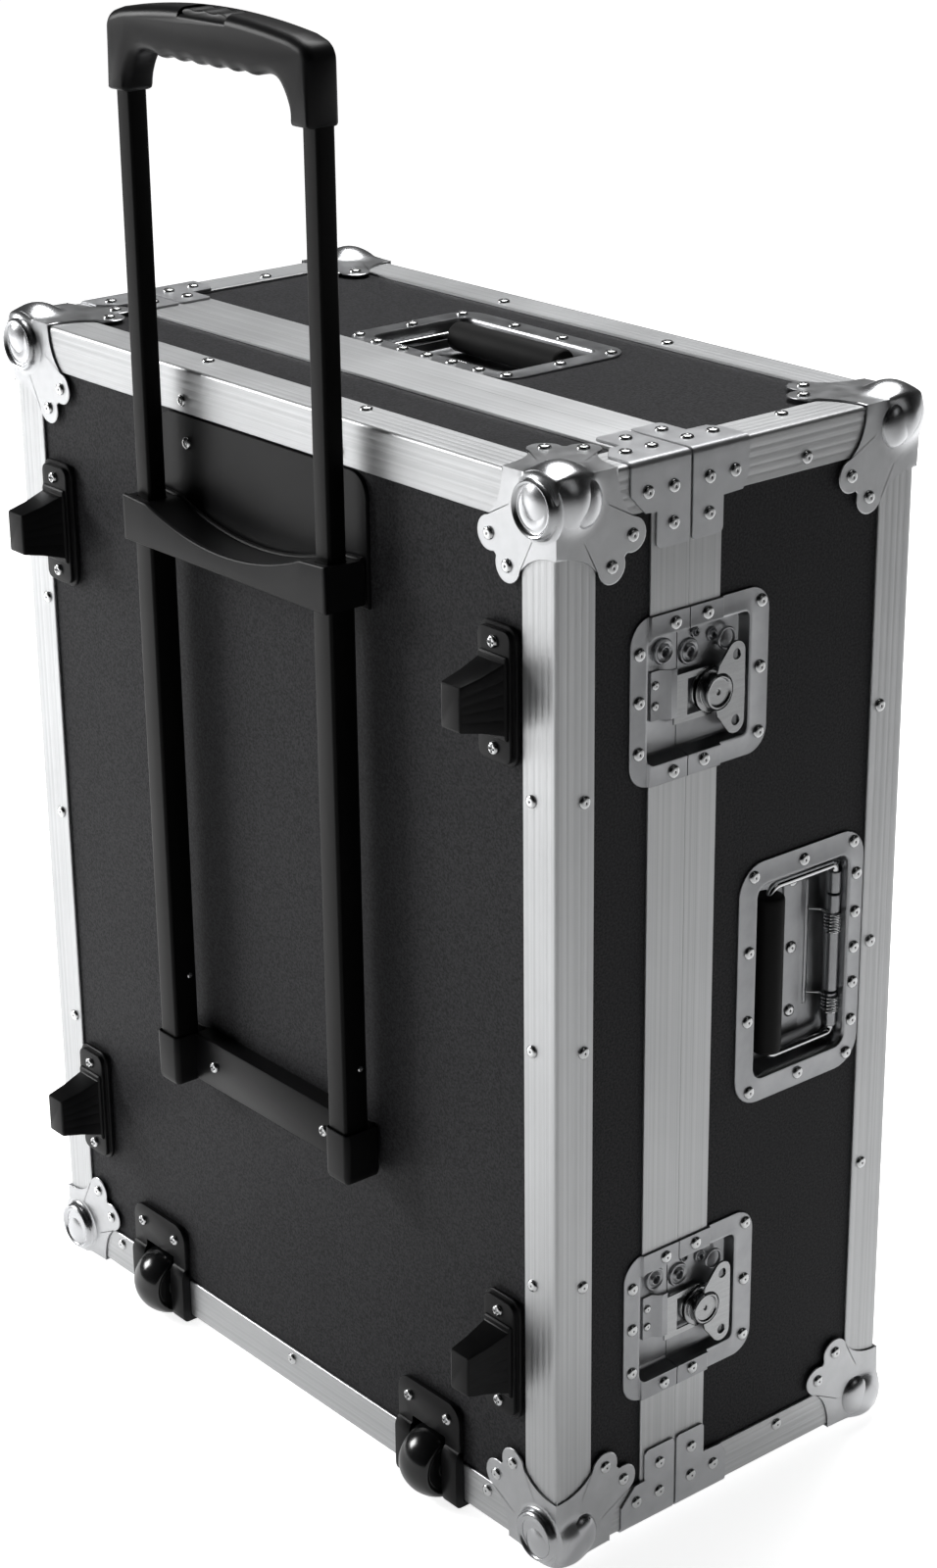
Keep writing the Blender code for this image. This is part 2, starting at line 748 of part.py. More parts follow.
def padlock_tab(spot, ys):
    """Ring tab for a padlock on one side of the seam."""
    wall = LATCH_OPEN_HALF + 0.5
    outline = [(ys[0], wall)]
    outline += arc(ys[0] + TAB_ROUND, TAB_END_Z, TAB_ROUND, 180, 270, 2)
    outline += arc(ys[1] - TAB_ROUND, TAB_END_Z, TAB_ROUND, 270, 360, 2)
    outline += [(ys[1], wall)]
    tab = prism(outline, "z", TAB_OUT - SHEET, TAB_OUT)
    hole = ((TAB_HOLE, TAB_OUT - PAST), (TAB_HOLE, TAB_OUT + PAST))
    return cut(tab, turned(hole, "z", *spot, 8))


def latch_dishes():
    """Latch dishes parted at the seam: keeper half and mechanism half."""
    opening = rounded(LATCH_OPEN, (-LATCH_OPEN_HALF, LATCH_OPEN_HALF), 4.0, 2)
    dish = join(latch_flange(opening), latch_tub(opening))
    whole = bpy.data.meshes.new("dish")
    dish.to_mesh(whole)
    dish.free()
    low = LOW_FLANGE + SHEET
    high = PLATE_LOW + SHEET
    keeper = LATCH_FLOOR + 1.0
    near = ((65.0, 31.5, low), (65.0, 1.5, low), (65.0, -30.5, low), (92.0, 46.0, high),
            (92.0, -47.5, high), (85.5, 5.5, keeper), (85.5, -7.5, keeper))
    far = ((118.0, 46.5, high), (117.0, -46.0, high), (164.5, 43.5, low),
           (164.5, 1.5, low), (164.5, -40.5, low))
    zs, outs = grown((-LATCH_HALF, LATCH_HALF), PAST), (2 * LATCH_FLOOR, PAST)
    for prefix, away, spots, hole, ys in (
            ("latch_keeper_dish_", (SEAM - SEAM_GAP, DEPTH), near, (92.0, 28.0), (84.0, 102.8)),
            ("latch_lid_dish_", (0.0, SEAM + SEAM_GAP), far, (111.0, 27.0), (104.2, 118.5))):
        half = bmesh.new()
        half.from_mesh(whole)
        half = cut(half, box(away, zs, outs))
        if prefix == "latch_keeper_dish_":
            half = join(half, keeper_plate())
        half = join(half, padlock_tab(hole, ys), latch_heads(spots))
        for name, centre, sign in latch_places():
            mesh = copy_into(bmesh.new(), half, latch_matrix(centre, sign))
            finish(prefix + name, mesh, STEEL)
        half.free()


def latch_rotor():
    """Drum and boss turned by the wing, with a cross bore for its pin."""
    foot = LATCH_FLOOR + GAP
    top = 2.4
    profile = ((DRUM_RADIUS, foot), (DRUM_RADIUS, foot + 2.3), (BOSS_RADIUS, foot + 2.4),
               (BOSS_RADIUS, top - 0.5), (BOSS_RADIUS - 1.0, top))
    body = turned(profile, "z", LATCH_AXIS_Y, LATCH_AXIS_Z, 14)
    bore_radius = PIN_RADIUS + WINDOW_GAP
    ends = grown((LATCH_AXIS_Z, LATCH_AXIS_Z), DRUM_RADIUS + PAST)
    bore = turned([(bore_radius, z) for z in ends], "y", LATCH_AXIS_Y, WING_AXIS_OUT, 6)
    return cut(body, bore)


def latch_wing():
    """Fold-flat wing plate with two finger holes and its cross pin."""
    low = WING_AXIS_OUT - 0.1
    ys = (LATCH_AXIS_Y - 2, LATCH_AXIS_Y + WING_REACH)
    zs = grown((LATCH_AXIS_Z, LATCH_AXIS_Z), WING_HALF)
    corner = WING_CORNER
    outline = arc(ys[1] - corner, zs[1] - corner, corner, 0, 90, 3)
    outline += [(ys[0], zs[1]), (ys[0], zs[0])]
    outline += arc(ys[1] - corner, zs[0] + corner, corner, 270, 360, 3)
    plate = prism(outline, "z", low, low + WING_THICK)
    through = (-PAST, PAST)
    round_boss = [(BOSS_RADIUS + 0.6, out) for out in through]
    holes = turned(round_boss, "z", LATCH_AXIS_Y, LATCH_AXIS_Z, 14)
    for sign in (-1, 1):
        finger = [(WING_CORNER / 2, out) for out in through]
        turned(finger, "z", LATCH_AXIS_Y + 13, LATCH_AXIS_Z + sign * 20.5, 8, mesh=holes)
    plate = cut(plate, holes)
    ends = grown((LATCH_AXIS_Z, LATCH_AXIS_Z), BOSS_RADIUS + PAST)
    pin = turned([(PIN_RADIUS, z) for z in ends], "y", LATCH_AXIS_Y, WING_AXIS_OUT, 6)
    return join(plate, pin)


def latch_hook():
    """Forked hook plate that reaches under the lip of the keeper."""
    zs = grown((LATCH_AXIS_Z, LATCH_AXIS_Z), HOOK_HALF)
    plate = box((HOOK_FROM, LATCH_AXIS_Y + 0.5), zs, HOOK_LEVELS)
    slot_from = LATCH_AXIS_Y - BOSS_RADIUS - HOOK_TRAVEL - 0.6
    slot_zs = grown((LATCH_AXIS_Z, LATCH_AXIS_Z), BOSS_RADIUS + 0.5)
    return cut(plate, box((slot_from, LATCH_TO), slot_zs, grown(HOOK_LEVELS, 2.0)))


def latch_mechanisms():
    """Rotor, wing and hook of each latch as separate moving pieces."""
    makers = (("latch_rotor_", latch_rotor, 0.0, CHROME),
              ("latch_wing_", latch_wing, WING_AXIS_OUT, STEEL),
              ("latch_hook_", latch_hook, sum(HOOK_LEVELS) / 2, STEEL))
    for prefix, make, out, look in makers:
        part = make()
        for name, centre, sign in latch_places():
            mesh = copy_into(bmesh.new(), part, latch_matrix(centre, sign))
            origin = (sign * (SIDE + out), LATCH_AXIS_Y, centre + LATCH_AXIS_Z)
            finish(prefix + name, mesh, look, origin)
        part.free()


# Carry handles

def handle_frames():
    """Matrices from handle (u, v, out) to the case frame, side then top."""
    side = frame_matrix((SIDE, SIDE_HANDLE_EDGE, SIDE_HANDLE_Z), (0, -1, 0), (0, 0, 1), (1, 0, 0))
    top = frame_matrix((0, TOP_HANDLE_EDGE, HEIGHT), (0, 1, 0), (1, 0, 0), (0, 0, 1))
    return side, top


def handle_sheet():
    """Pressed handle dish: flange, sloped walls and floor of one sheet."""
    top = LOW_FLANGE + SHEET

    def ring(shrink, radius, out):
        us = grown(DISH_U, -shrink)
        vs = grown((-DISH_V, DISH_V), -shrink)
        return [(u, v, out) for u, v in rounded(us, vs, radius)]

    frame = rounded((0.0, FRAME_U), (-FRAME_V, FRAME_V), FRAME_CORNER)
    rings = [ring(1.5, 5.0, DISH_FLOOR), ring(0.0, 6.0, top)]
    rings.append([(u, v, top) for u, v in frame])
    rings.append([(u, v, LOW_FLANGE) for u, v in frame])
    rings += [ring(-SHEET, 7.2, LOW_FLANGE), ring(0.3, 6.2, DISH_FLOOR - SHEET)]
    return skin(bmesh.new(), rings)


def handle_heads():
    """Rivet heads round a handle frame and on its stop plate."""
    mesh = bmesh.new()
    top = LOW_FLANGE + SHEET
    spots = [(u, sign * (FRAME_V - 9)) for u in (10.0, 55.0, 99.0) for sign in (-1, 1)]
    spots += [(102.0, -24.0), (102.0, 24.0)]
    spots += [(6.5, v) for v in (-52.0, -25.0, 25.0, 52.0)]
    for u, v in spots:
        rivet(mesh, "z", u, v, top, 1)
    for v in (-40.0, 5.0, 52.0):
        rivet(mesh, "z", 48.0, v, DISH_FLOOR + STOP_THICK, 1)
    return mesh


def handle_dish():
    """Handle dish with its three hinge knuckles, stop plate and rivets."""
    dish = handle_sheet()
    bore_radius = ROD_RADIUS + 0.5
    for limits in KNUCKLES:
        knuckle = turned([(KNUCKLE_RADIUS, v) for v in limits], "y", HINGE_U, ROD_OUT, 10)
        web = box((DISH_U[0] - 0.1, HINGE_U), limits, grown((ROD_OUT, ROD_OUT), 1.0))
        bore = turned([(bore_radius, v) for v in grown(limits, 2.0)], "y", HINGE_U, ROD_OUT, 10)
        dish = join(dish, cut(join(knuckle, web), bore))
    stop = box((37.0, 53.0), (-56.0, 61.0), (DISH_FLOOR - 0.3, DISH_FLOOR + STOP_THICK))
    return join(dish, stop, handle_heads())


def handle_bail():
    """Round wire bail: hinge rod, two arms and grip rod in one closed loop."""
    path = rounded((HINGE_U, GRIP_U), (-ROD_HALF, ROD_HALF), ROD_BEND, 3)
    rings = []
    for index, (u, v) in enumerate(path):
        angle = math.radians(90 * (index // 4) + 30 * (index % 4))
        ring = []
        for across, out in arc(0.0, 0.0, ROD_RADIUS, 0, 360, 8)[:-1]:
            ring.append((u + across * math.cos(angle), v + across * math.sin(angle), ROD_OUT + out))
        rings.append(ring)
    return skin(bmesh.new(), rings, closed=True)


def handle_rubber():
    """Rubber sleeve on the grip rod."""
    half = ROD_HALF - 5.0
    bore = ROD_RADIUS + WINDOW_GAP
    profile = ((bore, -half), (SLEEVE_END, -half), (SLEEVE_RADIUS, 2.0 - half),
               (SLEEVE_RADIUS, half - 2.0), (SLEEVE_END, half), (bore, half))
    return turned(profile, "y", GRIP_U, ROD_OUT, 14, closed=True)


def carry_handles():
    """Dish, bail and rubber sleeve of the side handle and of the top handle."""
    for name, matrix in zip(("side", "top"), handle_frames()):
        origin = matrix @ Vector((HINGE_U, 0.0, ROD_OUT))
        finish(name + "_handle_dish", copy_into(bmesh.new(), handle_dish(), matrix), STEEL)
        finish(name + "_handle_bail", copy_into(bmesh.new(), handle_bail(), matrix), CHROME, origin)
        sleeve = copy_into(bmesh.new(), handle_rubber(), matrix)
        finish(name + "_handle_rubber", sleeve, RUBBER, origin)


# Feet and wheels

def screw(mesh, x, z, y):
    """Round screw head on the trolley side, standing on a surface at a y."""
    profile = ((SCREW_RADIUS, y + 0.5), (SCREW_RADIUS, y - 0.8),
               (SCREW_RADIUS * 0.6, y - SCREW_HEIGHT))
    return turned(profile, "y", x, z, 8, mesh=mesh)


def feet():
    """Four feet with a screwed base plate and a tapered block."""
    limits = [(-half, half) for half in FOOT_PLATE]
    plate = prism(rounded(*limits, 8.0, 2), "y", FOOT_BASE, -GAP)
    pad = box(grown(limits[0], -0.5), (-3.0, BOARD_OUT - GAP), grown(limits[1], -1.5))
    stations = ((12.0, 22.5, FOOT_BASE + 1.0), (12.0, 22.5, FOOT_BASE - 1.0), (10.2, 17.2, -24.0),
                (8.75, 14.25, FOOT_FRONT + 1.5), (7.75, 13.25, FOOT_FRONT))
    rings = []
    for half_x, half_z, y in stations:
        outline = rounded((-half_x, half_x), (-half_z, half_z), 3.0, 1)
        rings.append([(x, y, z) for x, z in outline])
    heads = screw(screw(bmesh.new(), 0.0, -FOOT_SCREW, FOOT_BASE), 0.0, FOOT_SCREW, FOOT_BASE)
    foot = join(plate, pad, skin(bmesh.new(), rings), heads)
    for x_side in (0, 1):
        for z_side in (0, 1):
            x_way = 2 * x_side - 1
            z_way = 2 * z_side - 1
            origin = (x_way * FOOT_X, 0, HEIGHT / 2 + z_way * FOOT_Z)
            matrix = frame_matrix(origin, (x_way, 0, 0), (0, 1, 0), (0, 0, z_way))
            mesh = copy_into(bmesh.new(), foot, matrix)
            finish("foot_" + corner_name(x_side, z_side), mesh, PLASTIC)
    foot.free()


def housing_shell():
    """Bent shell of a wheel housing: front cover, lip under the edge and seat above it."""
    half = HOUSING_HALF
    top = LEG + 7.5
    front = [(SHELL_Y, 3.0), (SHELL_Y, LEG + 3), (SHELL_Y + 3, top), (-GAP, top), (-GAP, -GAP),
             (LEG - 3, -GAP), (LEG - 3, -4.0), (-3.0, -4.0)]
    return prism(front, "x", -half, half)


def wheel_housing():
    """Housing over the lower edge, with a well into the tray and a pressed-in axle."""
    half = HOUSING_HALF
    middle = half - HOUSING_CORNER
    outline = [(-half, LEG), (half, LEG)]
    outline += arc(middle, HOUSING_TOP - HOUSING_CORNER, HOUSING_CORNER, 0, 90, 3)
    outline += arc(-middle, HOUSING_TOP - HOUSING_CORNER, HOUSING_CORNER, 90, 180, 3)
    over = prism(outline, "y", HOUSING_PLATE, -GAP)
    back = box((1 - half, half - 1), (-2.0, BOARD_OUT - GAP), (LEG + GAP, HOUSING_TOP - 1.5))
    wall = SLOT_HALF + WELL_WALL
    well = box((-wall, wall), (-4.0, WELL_TO[0]), (-3.0, WELL_TO[1]))
    body = join(over, back, housing_shell(), well)
    body = cut(body, box((-SLOT_HALF, SLOT_HALF), (-LEG, SLOT_TO[0]), (-LEG, SLOT_TO[1])))
    ends = (-SLOT_HALF - 1.5, SLOT_HALF + 1.5)
    axle = turned([(AXLE_RADIUS, x) for x in ends], "x", WHEEL_Y, WHEEL_Z, 10)
    x, z = HOUSING_SCREW
    heads = screw(screw(bmesh.new(), -x, z, HOUSING_PLATE), x, z, HOUSING_PLATE)
    return join(body, axle, heads)


def wheel_profile():
    """Half section of a roller: its tread is crowned like the middle of a ball."""
    crown = []
    for along in (-13.0, -9.0, -4.5, 0.0, 4.5, 9.0, 13.0):
        crown.append((math.sqrt(WHEEL_RADIUS ** 2 - along ** 2), along))
    bore = AXLE_RADIUS + WINDOW_GAP
    half = WHEEL_HALF
    return [(bore, -half), (WHEEL_END, -half)] + crown + [(WHEEL_END, half), (bore, half)]


def wheels():
    """Wheel housings and the two rollers."""
    part = wheel_housing()
    for sign, side in ((-1, "left"), (1, "right")):
        middle = sign * WHEEL_X
        housing = copy_into(bmesh.new(), part, Matrix.Translation((middle, 0, 0)))
        finish("wheel_housing_" + side, housing, PLASTIC)
        shape = [(radius, middle + along) for radius, along in wheel_profile()]
        wheel = turned(shape, "x", WHEEL_Y, WHEEL_Z, 20, closed=True)
        finish("wheel_" + side, wheel, RUBBER, (middle, WHEEL_Y, WHEEL_Z))
    part.free()


# Trolley handle

def finish_pair(prefix, part, look):
    """The part as the right-hand piece and its mirror image as the left-hand one."""
    for side, sign in (("left", -1), ("right", 1)):
        mesh = copy_into(bmesh.new(), part, Matrix.Diagonal((sign, 1, 1, 1)))
        finish(prefix + side, mesh, look)
    part.free()


def tube(xs, ys, wall, low, high):
    """Rectangular tube along z with rounded edges."""
    rings = []
    for inset, z in ((wall, low), (0.0, low), (0.0, high), (wall, high)):
        limits = (grown(xs, -inset), grown(ys, -inset))
        rings.append([(x, y, z) for x, y in rounded(*limits, TUBE_CORNER - inset, 2)])
    return skin(bmesh.new(), rings, closed=True)


def both_sides(xs, ys, zs):
    """A block and its mirror image across the middle."""
    mesh = box(xs, ys, zs)
    return box((-xs[1], -xs[0]), ys, zs, mesh)


def backing_plate():
    """Riveted plate on the trolley face behind the collar."""
    low, top = BACKING_ZS
    corner = 15.0
    middle = BACKING_HALF - corner
    outline = [(-BACKING_HALF, low), (BACKING_HALF, low)]
    outline += arc(middle, top - corner, corner, 0, 90, 3)
    outline += arc(-middle, top - corner, corner, 90, 180, 3)
    heads = bmesh.new()
    for sign in (-1, 1):
        rivet(heads, "y", sign * BACKING_RIVET[0], BACKING_RIVET[1], BACKING_FRONT)
    plate = prism(outline, "y", BACKING_FRONT, BOARD_OUT - GAP)
    finish("trolley_backing_plate", join(plate, heads), PLASTIC)


def collar():
    """Collar across both tubes, its top dipping on an arc between the ends."""
    ends = COLLAR_TO - 2.0
    top = [(COLLAR_HALF, COLLAR_TO), (DIP_HALF, ends)]
    for i in range(9):
        x = DIP_HALF * (1 - i / 4)
        top.append((x, DIP_LOW + DIP_RADIUS - math.sqrt(DIP_RADIUS ** 2 - x * x)))
    top += [(-DIP_HALF, ends), (-COLLAR_HALF, COLLAR_TO)]
    outline = [(-COLLAR_HALF, COLLAR_FROM), (COLLAR_HALF, COLLAR_FROM)] + top
    body = prism(outline, "y", *COLLAR_Y)
    socket = (COLLAR_FROM - PAST, COLLAR_STEP + 1)
    body = cut(body, both_sides(grown(TUBE_X, GAP), grown(TUBE_Y, GAP), socket))
    hole = (COLLAR_STEP, COLLAR_TO + PAST)
    body = cut(body, both_sides(grown(INNER_X, GAP), grown(INNER_Y, GAP), hole))
    finish("trolley_collar", body, PLASTIC)


def bottom_bracket():
    """Caps under both outer tubes and the screwed bridge between them."""
    outer = (TUBE_X[0] - 2.0, TUBE_X[1] + 3.0)
    reach = outer[0] + 2
    back = BOARD_OUT - GAP
    bridge = box((-reach, reach), (BRIDGE_FRONT, back), BRACKET_ZS)
    caps = both_sides(outer, (TUBE_Y[0] - 2.0, back), (BRACKET_ZS[0] - 2, BRACKET_ZS[1]))
    x, z = BRIDGE_SCREW
    heads = screw(screw(bmesh.new(), -x, z, BRIDGE_FRONT), x, z, BRIDGE_FRONT)
    body = join(bridge, caps, heads)
    socket = (TUBE_ZS[0] - GAP, BRACKET_ZS[1] + PAST)
    sockets = both_sides(grown(TUBE_X, GAP), grown(TUBE_Y, GAP), socket)
    finish("trolley_bottom_bracket", cut(body, sockets), PLASTIC)


def inner_tube():
    """Inner tube with the guide block that runs in the outer tube."""
    room = TUBE_WALL + GAP
    body = tube(INNER_X, INNER_Y, INNER_WALL, INNER_FROM, SOCKET_TO - 0.8)
    block = box(grown(TUBE_X, -room), grown(TUBE_Y, -room), (GUIDE_FROM, INNER_FROM + 1))
    bore = [(2.6, z) for z in (GUIDE_FROM - PAST, INNER_FROM + PAST)]
    return cut(join(body, block), turned(bore, "z", ROD_X, ROD_Y, 8))


def grip_outline():
    """Front outline of the grip: crowned top, round shoulders, waves for four fingers."""
    under = []
    for i in range(1, 7):
        x = i * FINGER_PITCH / 4
        under.append((x, FINGER_Z + FINGER_WAVE * math.sin(math.pi * x / FINGER_PITCH) ** 2))
    for angle in (90, 66, 42, 20, 0):
        turn = math.radians(angle)
        x = ARCH_AT + (GRIP_LEG - ARCH_AT) * math.cos(turn)
        under.append((x, GRIP_FROM + (ARCH_TO - GRIP_FROM) * math.sin(turn)))
    half = [(GRIP_HALF, GRIP_FROM)]
    half += arc(GRIP_HALF - SHOULDER, SHOULDER_Z, SHOULDER, 0, 80, 3)
    for share in (0.75, 0.5, 0.25):
        half.append((share * GRIP_HALF, GRIP_TOP - GRIP_CROWN * share ** 2))
    right = under + half
    left = [(-x, z) for x, z in reversed(right)]
    return right + [(0.0, GRIP_TOP)] + left + [(0.0, FINGER_Z)]


def grip():
    """Trolley grip with sockets for the tubes, a channel for the button bar and a pocket."""
    body = prism(grip_outline(), "y", *GRIP_Y)
    rim_edges = []
    for edge in body.edges:
        depths = {round(vert.co.y, 3) for vert in edge.verts}
        if len(depths) == 1:
            rim_edges.append(edge)
    bmesh.ops.bevel(body, geom=rim_edges, offset=GRIP_BEVEL, segments=1, affect="EDGES",
                    profile=0.5)
    sockets = (GRIP_FROM - PAST, SOCKET_TO)
    body = cut(body, both_sides(grown(INNER_X, GAP), grown(INNER_Y, GAP), sockets))
    around = grown((ROD_Y, ROD_Y), 3.3)
    body = cut(body, box((-CHANNEL_HALF, CHANNEL_HALF), around, CHANNEL_ZS))
    stem = grown((-STEM_HALF, STEM_HALF), 0.6)
    body = cut(body, box(stem, around, (CHANNEL_ZS[1] - 1, POCKET_FLOOR + 1.5)))
    above = GRIP_TOP + PAST
    pocket = (-POCKET_HALF, POCKET_HALF)
    body = cut(body, box(pocket, POCKET_Y, (POCKET_FLOOR, above)))
    lip = (GRIP_Y[0] - PAST, POCKET_Y[1])
    finish("handle_grip", cut(body, box(pocket, lip, (LIP_TOP, above))), PLASTIC)


def release_button():
    """Button in the top of the grip with its bar and the rods down the tubes."""
    low, high = BUTTON_ZS
    half = POCKET_HALF - 0.5
    top = [(-half, low), (half, low), (half, high - 1.2), (16.0, high - 0.2), (8.0, high - 0.9),
           (0.0, high), (-8.0, high - 0.9), (-16.0, high - 0.2), (-half, high - 1.2)]
    head = prism(top, "y", POCKET_Y[0] + GAP, POCKET_Y[1] - GAP - 0.2)
    stem = box((-STEM_HALF, STEM_HALF), grown((ROD_Y, ROD_Y), 2.7), (BAR_ZS[0], low + 1.5))
    reach = ROD_X + 2.5
    bar = box((-reach, reach), grown((ROD_Y, ROD_Y), 2.5), BAR_ZS)
    body = join(head, stem, bar)
    for sign in (-1, 1):
        rod = [(2.0, z) for z in (ROD_TO, BAR_ZS[0] + 0.8)]
        body = join(body, turned(rod, "z", sign * ROD_X, ROD_Y, 6))
    finish("release_button", body, PLASTIC)


def trolley():
    """Telescopic handle with its fittings on the trolley face."""
    backing_plate()
    collar()
    bottom_bracket()
    finish_pair("trolley_outer_tube_", tube(TUBE_X, TUBE_Y, TUBE_WALL, *TUBE_ZS), PAINT)
    finish_pair("inner_tube_", inner_tube(), PAINT)
    grip()
    release_button()


def clear_scene():
    """Remove every object that is already in the scene."""
    for item in list(bpy.data.objects):
        bpy.data.objects.remove(item)


clear_scene()
boxes()
edge_frames()
closure_rims()
foam_linings()
ball_corners()
latch_dishes()
latch_mechanisms()
carry_handles()
feet()
wheels()
trolley()
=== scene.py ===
import math

import bmesh
import bpy
import numpy as np
from mathutils import Matrix


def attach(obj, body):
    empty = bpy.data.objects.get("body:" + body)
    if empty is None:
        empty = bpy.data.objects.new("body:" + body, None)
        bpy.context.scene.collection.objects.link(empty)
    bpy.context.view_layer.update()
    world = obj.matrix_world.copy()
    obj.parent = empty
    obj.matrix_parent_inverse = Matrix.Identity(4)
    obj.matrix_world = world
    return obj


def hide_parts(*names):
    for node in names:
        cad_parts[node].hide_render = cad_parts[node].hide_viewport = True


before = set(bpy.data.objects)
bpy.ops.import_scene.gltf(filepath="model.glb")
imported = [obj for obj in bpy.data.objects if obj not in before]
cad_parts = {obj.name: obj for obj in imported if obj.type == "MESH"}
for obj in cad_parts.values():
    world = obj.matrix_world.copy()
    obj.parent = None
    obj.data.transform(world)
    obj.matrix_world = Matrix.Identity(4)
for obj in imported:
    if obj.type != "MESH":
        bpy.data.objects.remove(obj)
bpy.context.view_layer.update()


# The studio: a wide pale floor, a dim room with a pale backdrop, and three large
# soft boxes. Floor and room light the case less from the side behind the camera,
# but the camera sees both pale all round.
# The camera stands a little above the case, in front of its trolley face and
# right side, and looks down at it with a long lens.

def linear(colour):
    """sRGB hex to linear light: the dark end divided by 12.92, the rest to the power 2.4."""
    parts = np.array([int(colour[i:i + 2], 16) for i in (0, 2, 4)]) / 255
    curve = np.where(parts <= 0.04045, parts / 12.92, ((parts + 0.055) / 1.055) ** 2.4)
    return (*(float(part) for part in curve), 1.0)


def add(tree, kind, inputs=(), **settings):
    """One node with its settings; each input takes a value, or the output that feeds it."""
    made = tree.nodes.new(kind)
    for name, value in settings.items():
        setattr(made, name, value)
    for name, value in dict(inputs).items():
        if isinstance(value, bpy.types.NodeSocket):
            tree.links.new(value, made.inputs[name])
        else:
            made.inputs[name].default_value = value
    return made


def blank(name):
    """An empty material and its node tree."""
    material = bpy.data.materials.new(name)
    material.use_nodes = True
    material.node_tree.nodes.clear()
    return material, material.node_tree


def wrap(output, tree):
    """Feeds a shader to the material's surface."""
    add(tree, "ShaderNodeOutputMaterial", {"Surface": output})


def put(name, data):
    """Adds an object for this data to the scene."""
    made = bpy.data.objects.new(name, data)
    bpy.context.scene.collection.objects.link(made)
    return made


CAMERA_RIGHT = (0.63723, 0.77056, -0.01304)
CAMERA_UP = (-0.2871, 0.25305, 0.92387)
CAMERA_BACK = (0.7152, -0.58498, 0.38248)
CAMERA_PLACE = (1.5465, -1.2489, 1.2130)
ROOM_DARK_SIDE = (0.80, -0.20, 0.56)
BACKDROP = 0.85


def pale_to_camera(tree, strength):
    """The strength as it lights the case, but never under the backdrop's for the camera."""
    seen = add(tree, "ShaderNodeLightPath").outputs["Is Camera Ray"]
    pale = add(tree, "ShaderNodeMath", {0: seen, 1: BACKDROP}, operation="MULTIPLY")
    most = add(tree, "ShaderNodeMath", {0: strength, 1: pale.outputs[0]}, operation="MAXIMUM")
    return most.outputs[0]


camera = put("camera", bpy.data.cameras.new("camera"))
camera.matrix_world = Matrix((
    *zip(CAMERA_RIGHT, CAMERA_UP, CAMERA_BACK, CAMERA_PLACE),
    (0.0, 0.0, 0.0, 1.0),
))
camera.data.sensor_width = 36.0
camera.data.lens = 71.955
camera.data.shift_x = 0.0134
camera.data.shift_y = 0.0361
camera.data.clip_end = 100.0
bpy.context.scene.camera = camera
bpy.context.scene.view_settings.view_transform = "Standard"

room = bpy.data.worlds.new("room")
room.use_nodes = True
tree = room.node_tree
way = add(tree, "ShaderNodeTexCoord").outputs["Generated"]
toward = add(tree, "ShaderNodeVectorMath", {0: way, 1: ROOM_DARK_SIDE}, operation="DOT_PRODUCT")
shade = add(tree, "ShaderNodeMapRange",
            {0: toward.outputs["Value"], 1: -0.2, 2: 0.70, 3: 0.05, 4: 0.002},
            interpolation_type="SMOOTHSTEP")
backdrop = tree.nodes["Background"]
backdrop.inputs["Color"].default_value = linear("FFFFFF")
tree.links.new(pale_to_camera(tree, shade.outputs[0]), backdrop.inputs["Strength"])
bpy.context.scene.world = room

SOFT_BOXES = (
    ("front_soft_box", (-2.8, -1.9, 1.7), 1.1, 88.0),
    ("side_soft_box", (3.2, 0.9, 2.2), 1.2, 2.0),
    ("top_soft_box", (-0.7, 0.9, 3.2), 1.8, 95.0),
)
for name, place, width, watts in SOFT_BOXES:
    lamp = bpy.data.lights.new(name, "AREA")
    lamp.size = width
    lamp.energy = watts
    box = put(name, lamp)
    aim = np.array((0.0, 0.0, 0.4)) - place
    back = -aim / np.linalg.norm(aim)
    side = np.cross((0.0, 0.0, 1.0), back)
    side /= np.linalg.norm(side)
    rows = zip(side, np.cross(back, side), back, place)
    box.matrix_world = Matrix((*rows, (0.0, 0.0, 0.0, 1.0)))

floor_paint, tree = blank("pale_floor_paint")
cloud = add(tree, "ShaderNodeTexNoise", {"Scale": 0.7, "Detail": 1.0})
tint = add(tree, "ShaderNodeMix", {0: cloud.outputs[0], 6: linear("F6F6F6"), 7: linear("FBFBFB")},
           data_type="RGBA")
where = add(tree, "ShaderNodeTexCoord").outputs["Object"]
aside = add(tree, "ShaderNodeVectorMath", {0: where, 1: (0.87, -0.49, 0.0)}, operation="DOT_PRODUCT")
bounce = add(tree, "ShaderNodeMapRange", {0: aside.outputs["Value"], 1: -0.8, 2: 1.0, 3: 1.0, 4: 0.08},
             interpolation_type="SMOOTHSTEP")
matt = add(tree, "ShaderNodeBsdfPrincipled",
           {"Base Color": tint.outputs[2], "Roughness": 0.9, "Emission Color": linear("FFFFFF"),
            "Emission Strength": pale_to_camera(tree, bounce.outputs[0])})
wrap(matt.outputs[0], tree)
floor_mesh = bpy.data.meshes.new("studio_floor")
floor_mesh.from_pydata([(-20, -20, 0), (20, -20, 0), (20, 20, 0), (-20, 20, 0)], [], [(0, 1, 2, 3)])
floor_mesh.materials.append(floor_paint)
put("studio_floor", floor_mesh)


# The two boxes are glued from 7 mm plywood, faced outside with black phenolic
# film. The boards slide into the aluminium profiles and stop there. The film
# carries a fine pressed grain, a little duller where it was handled.

def per(millimetres):
    """The scale of a pattern that repeats about once in so many millimetres."""
    return 1000.0 / millimetres


def coat(nodes, material):
    """Gives CAD nodes that stay as they are a finished material."""
    for name in nodes:
        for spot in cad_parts[name].material_slots:
            spot.material = material


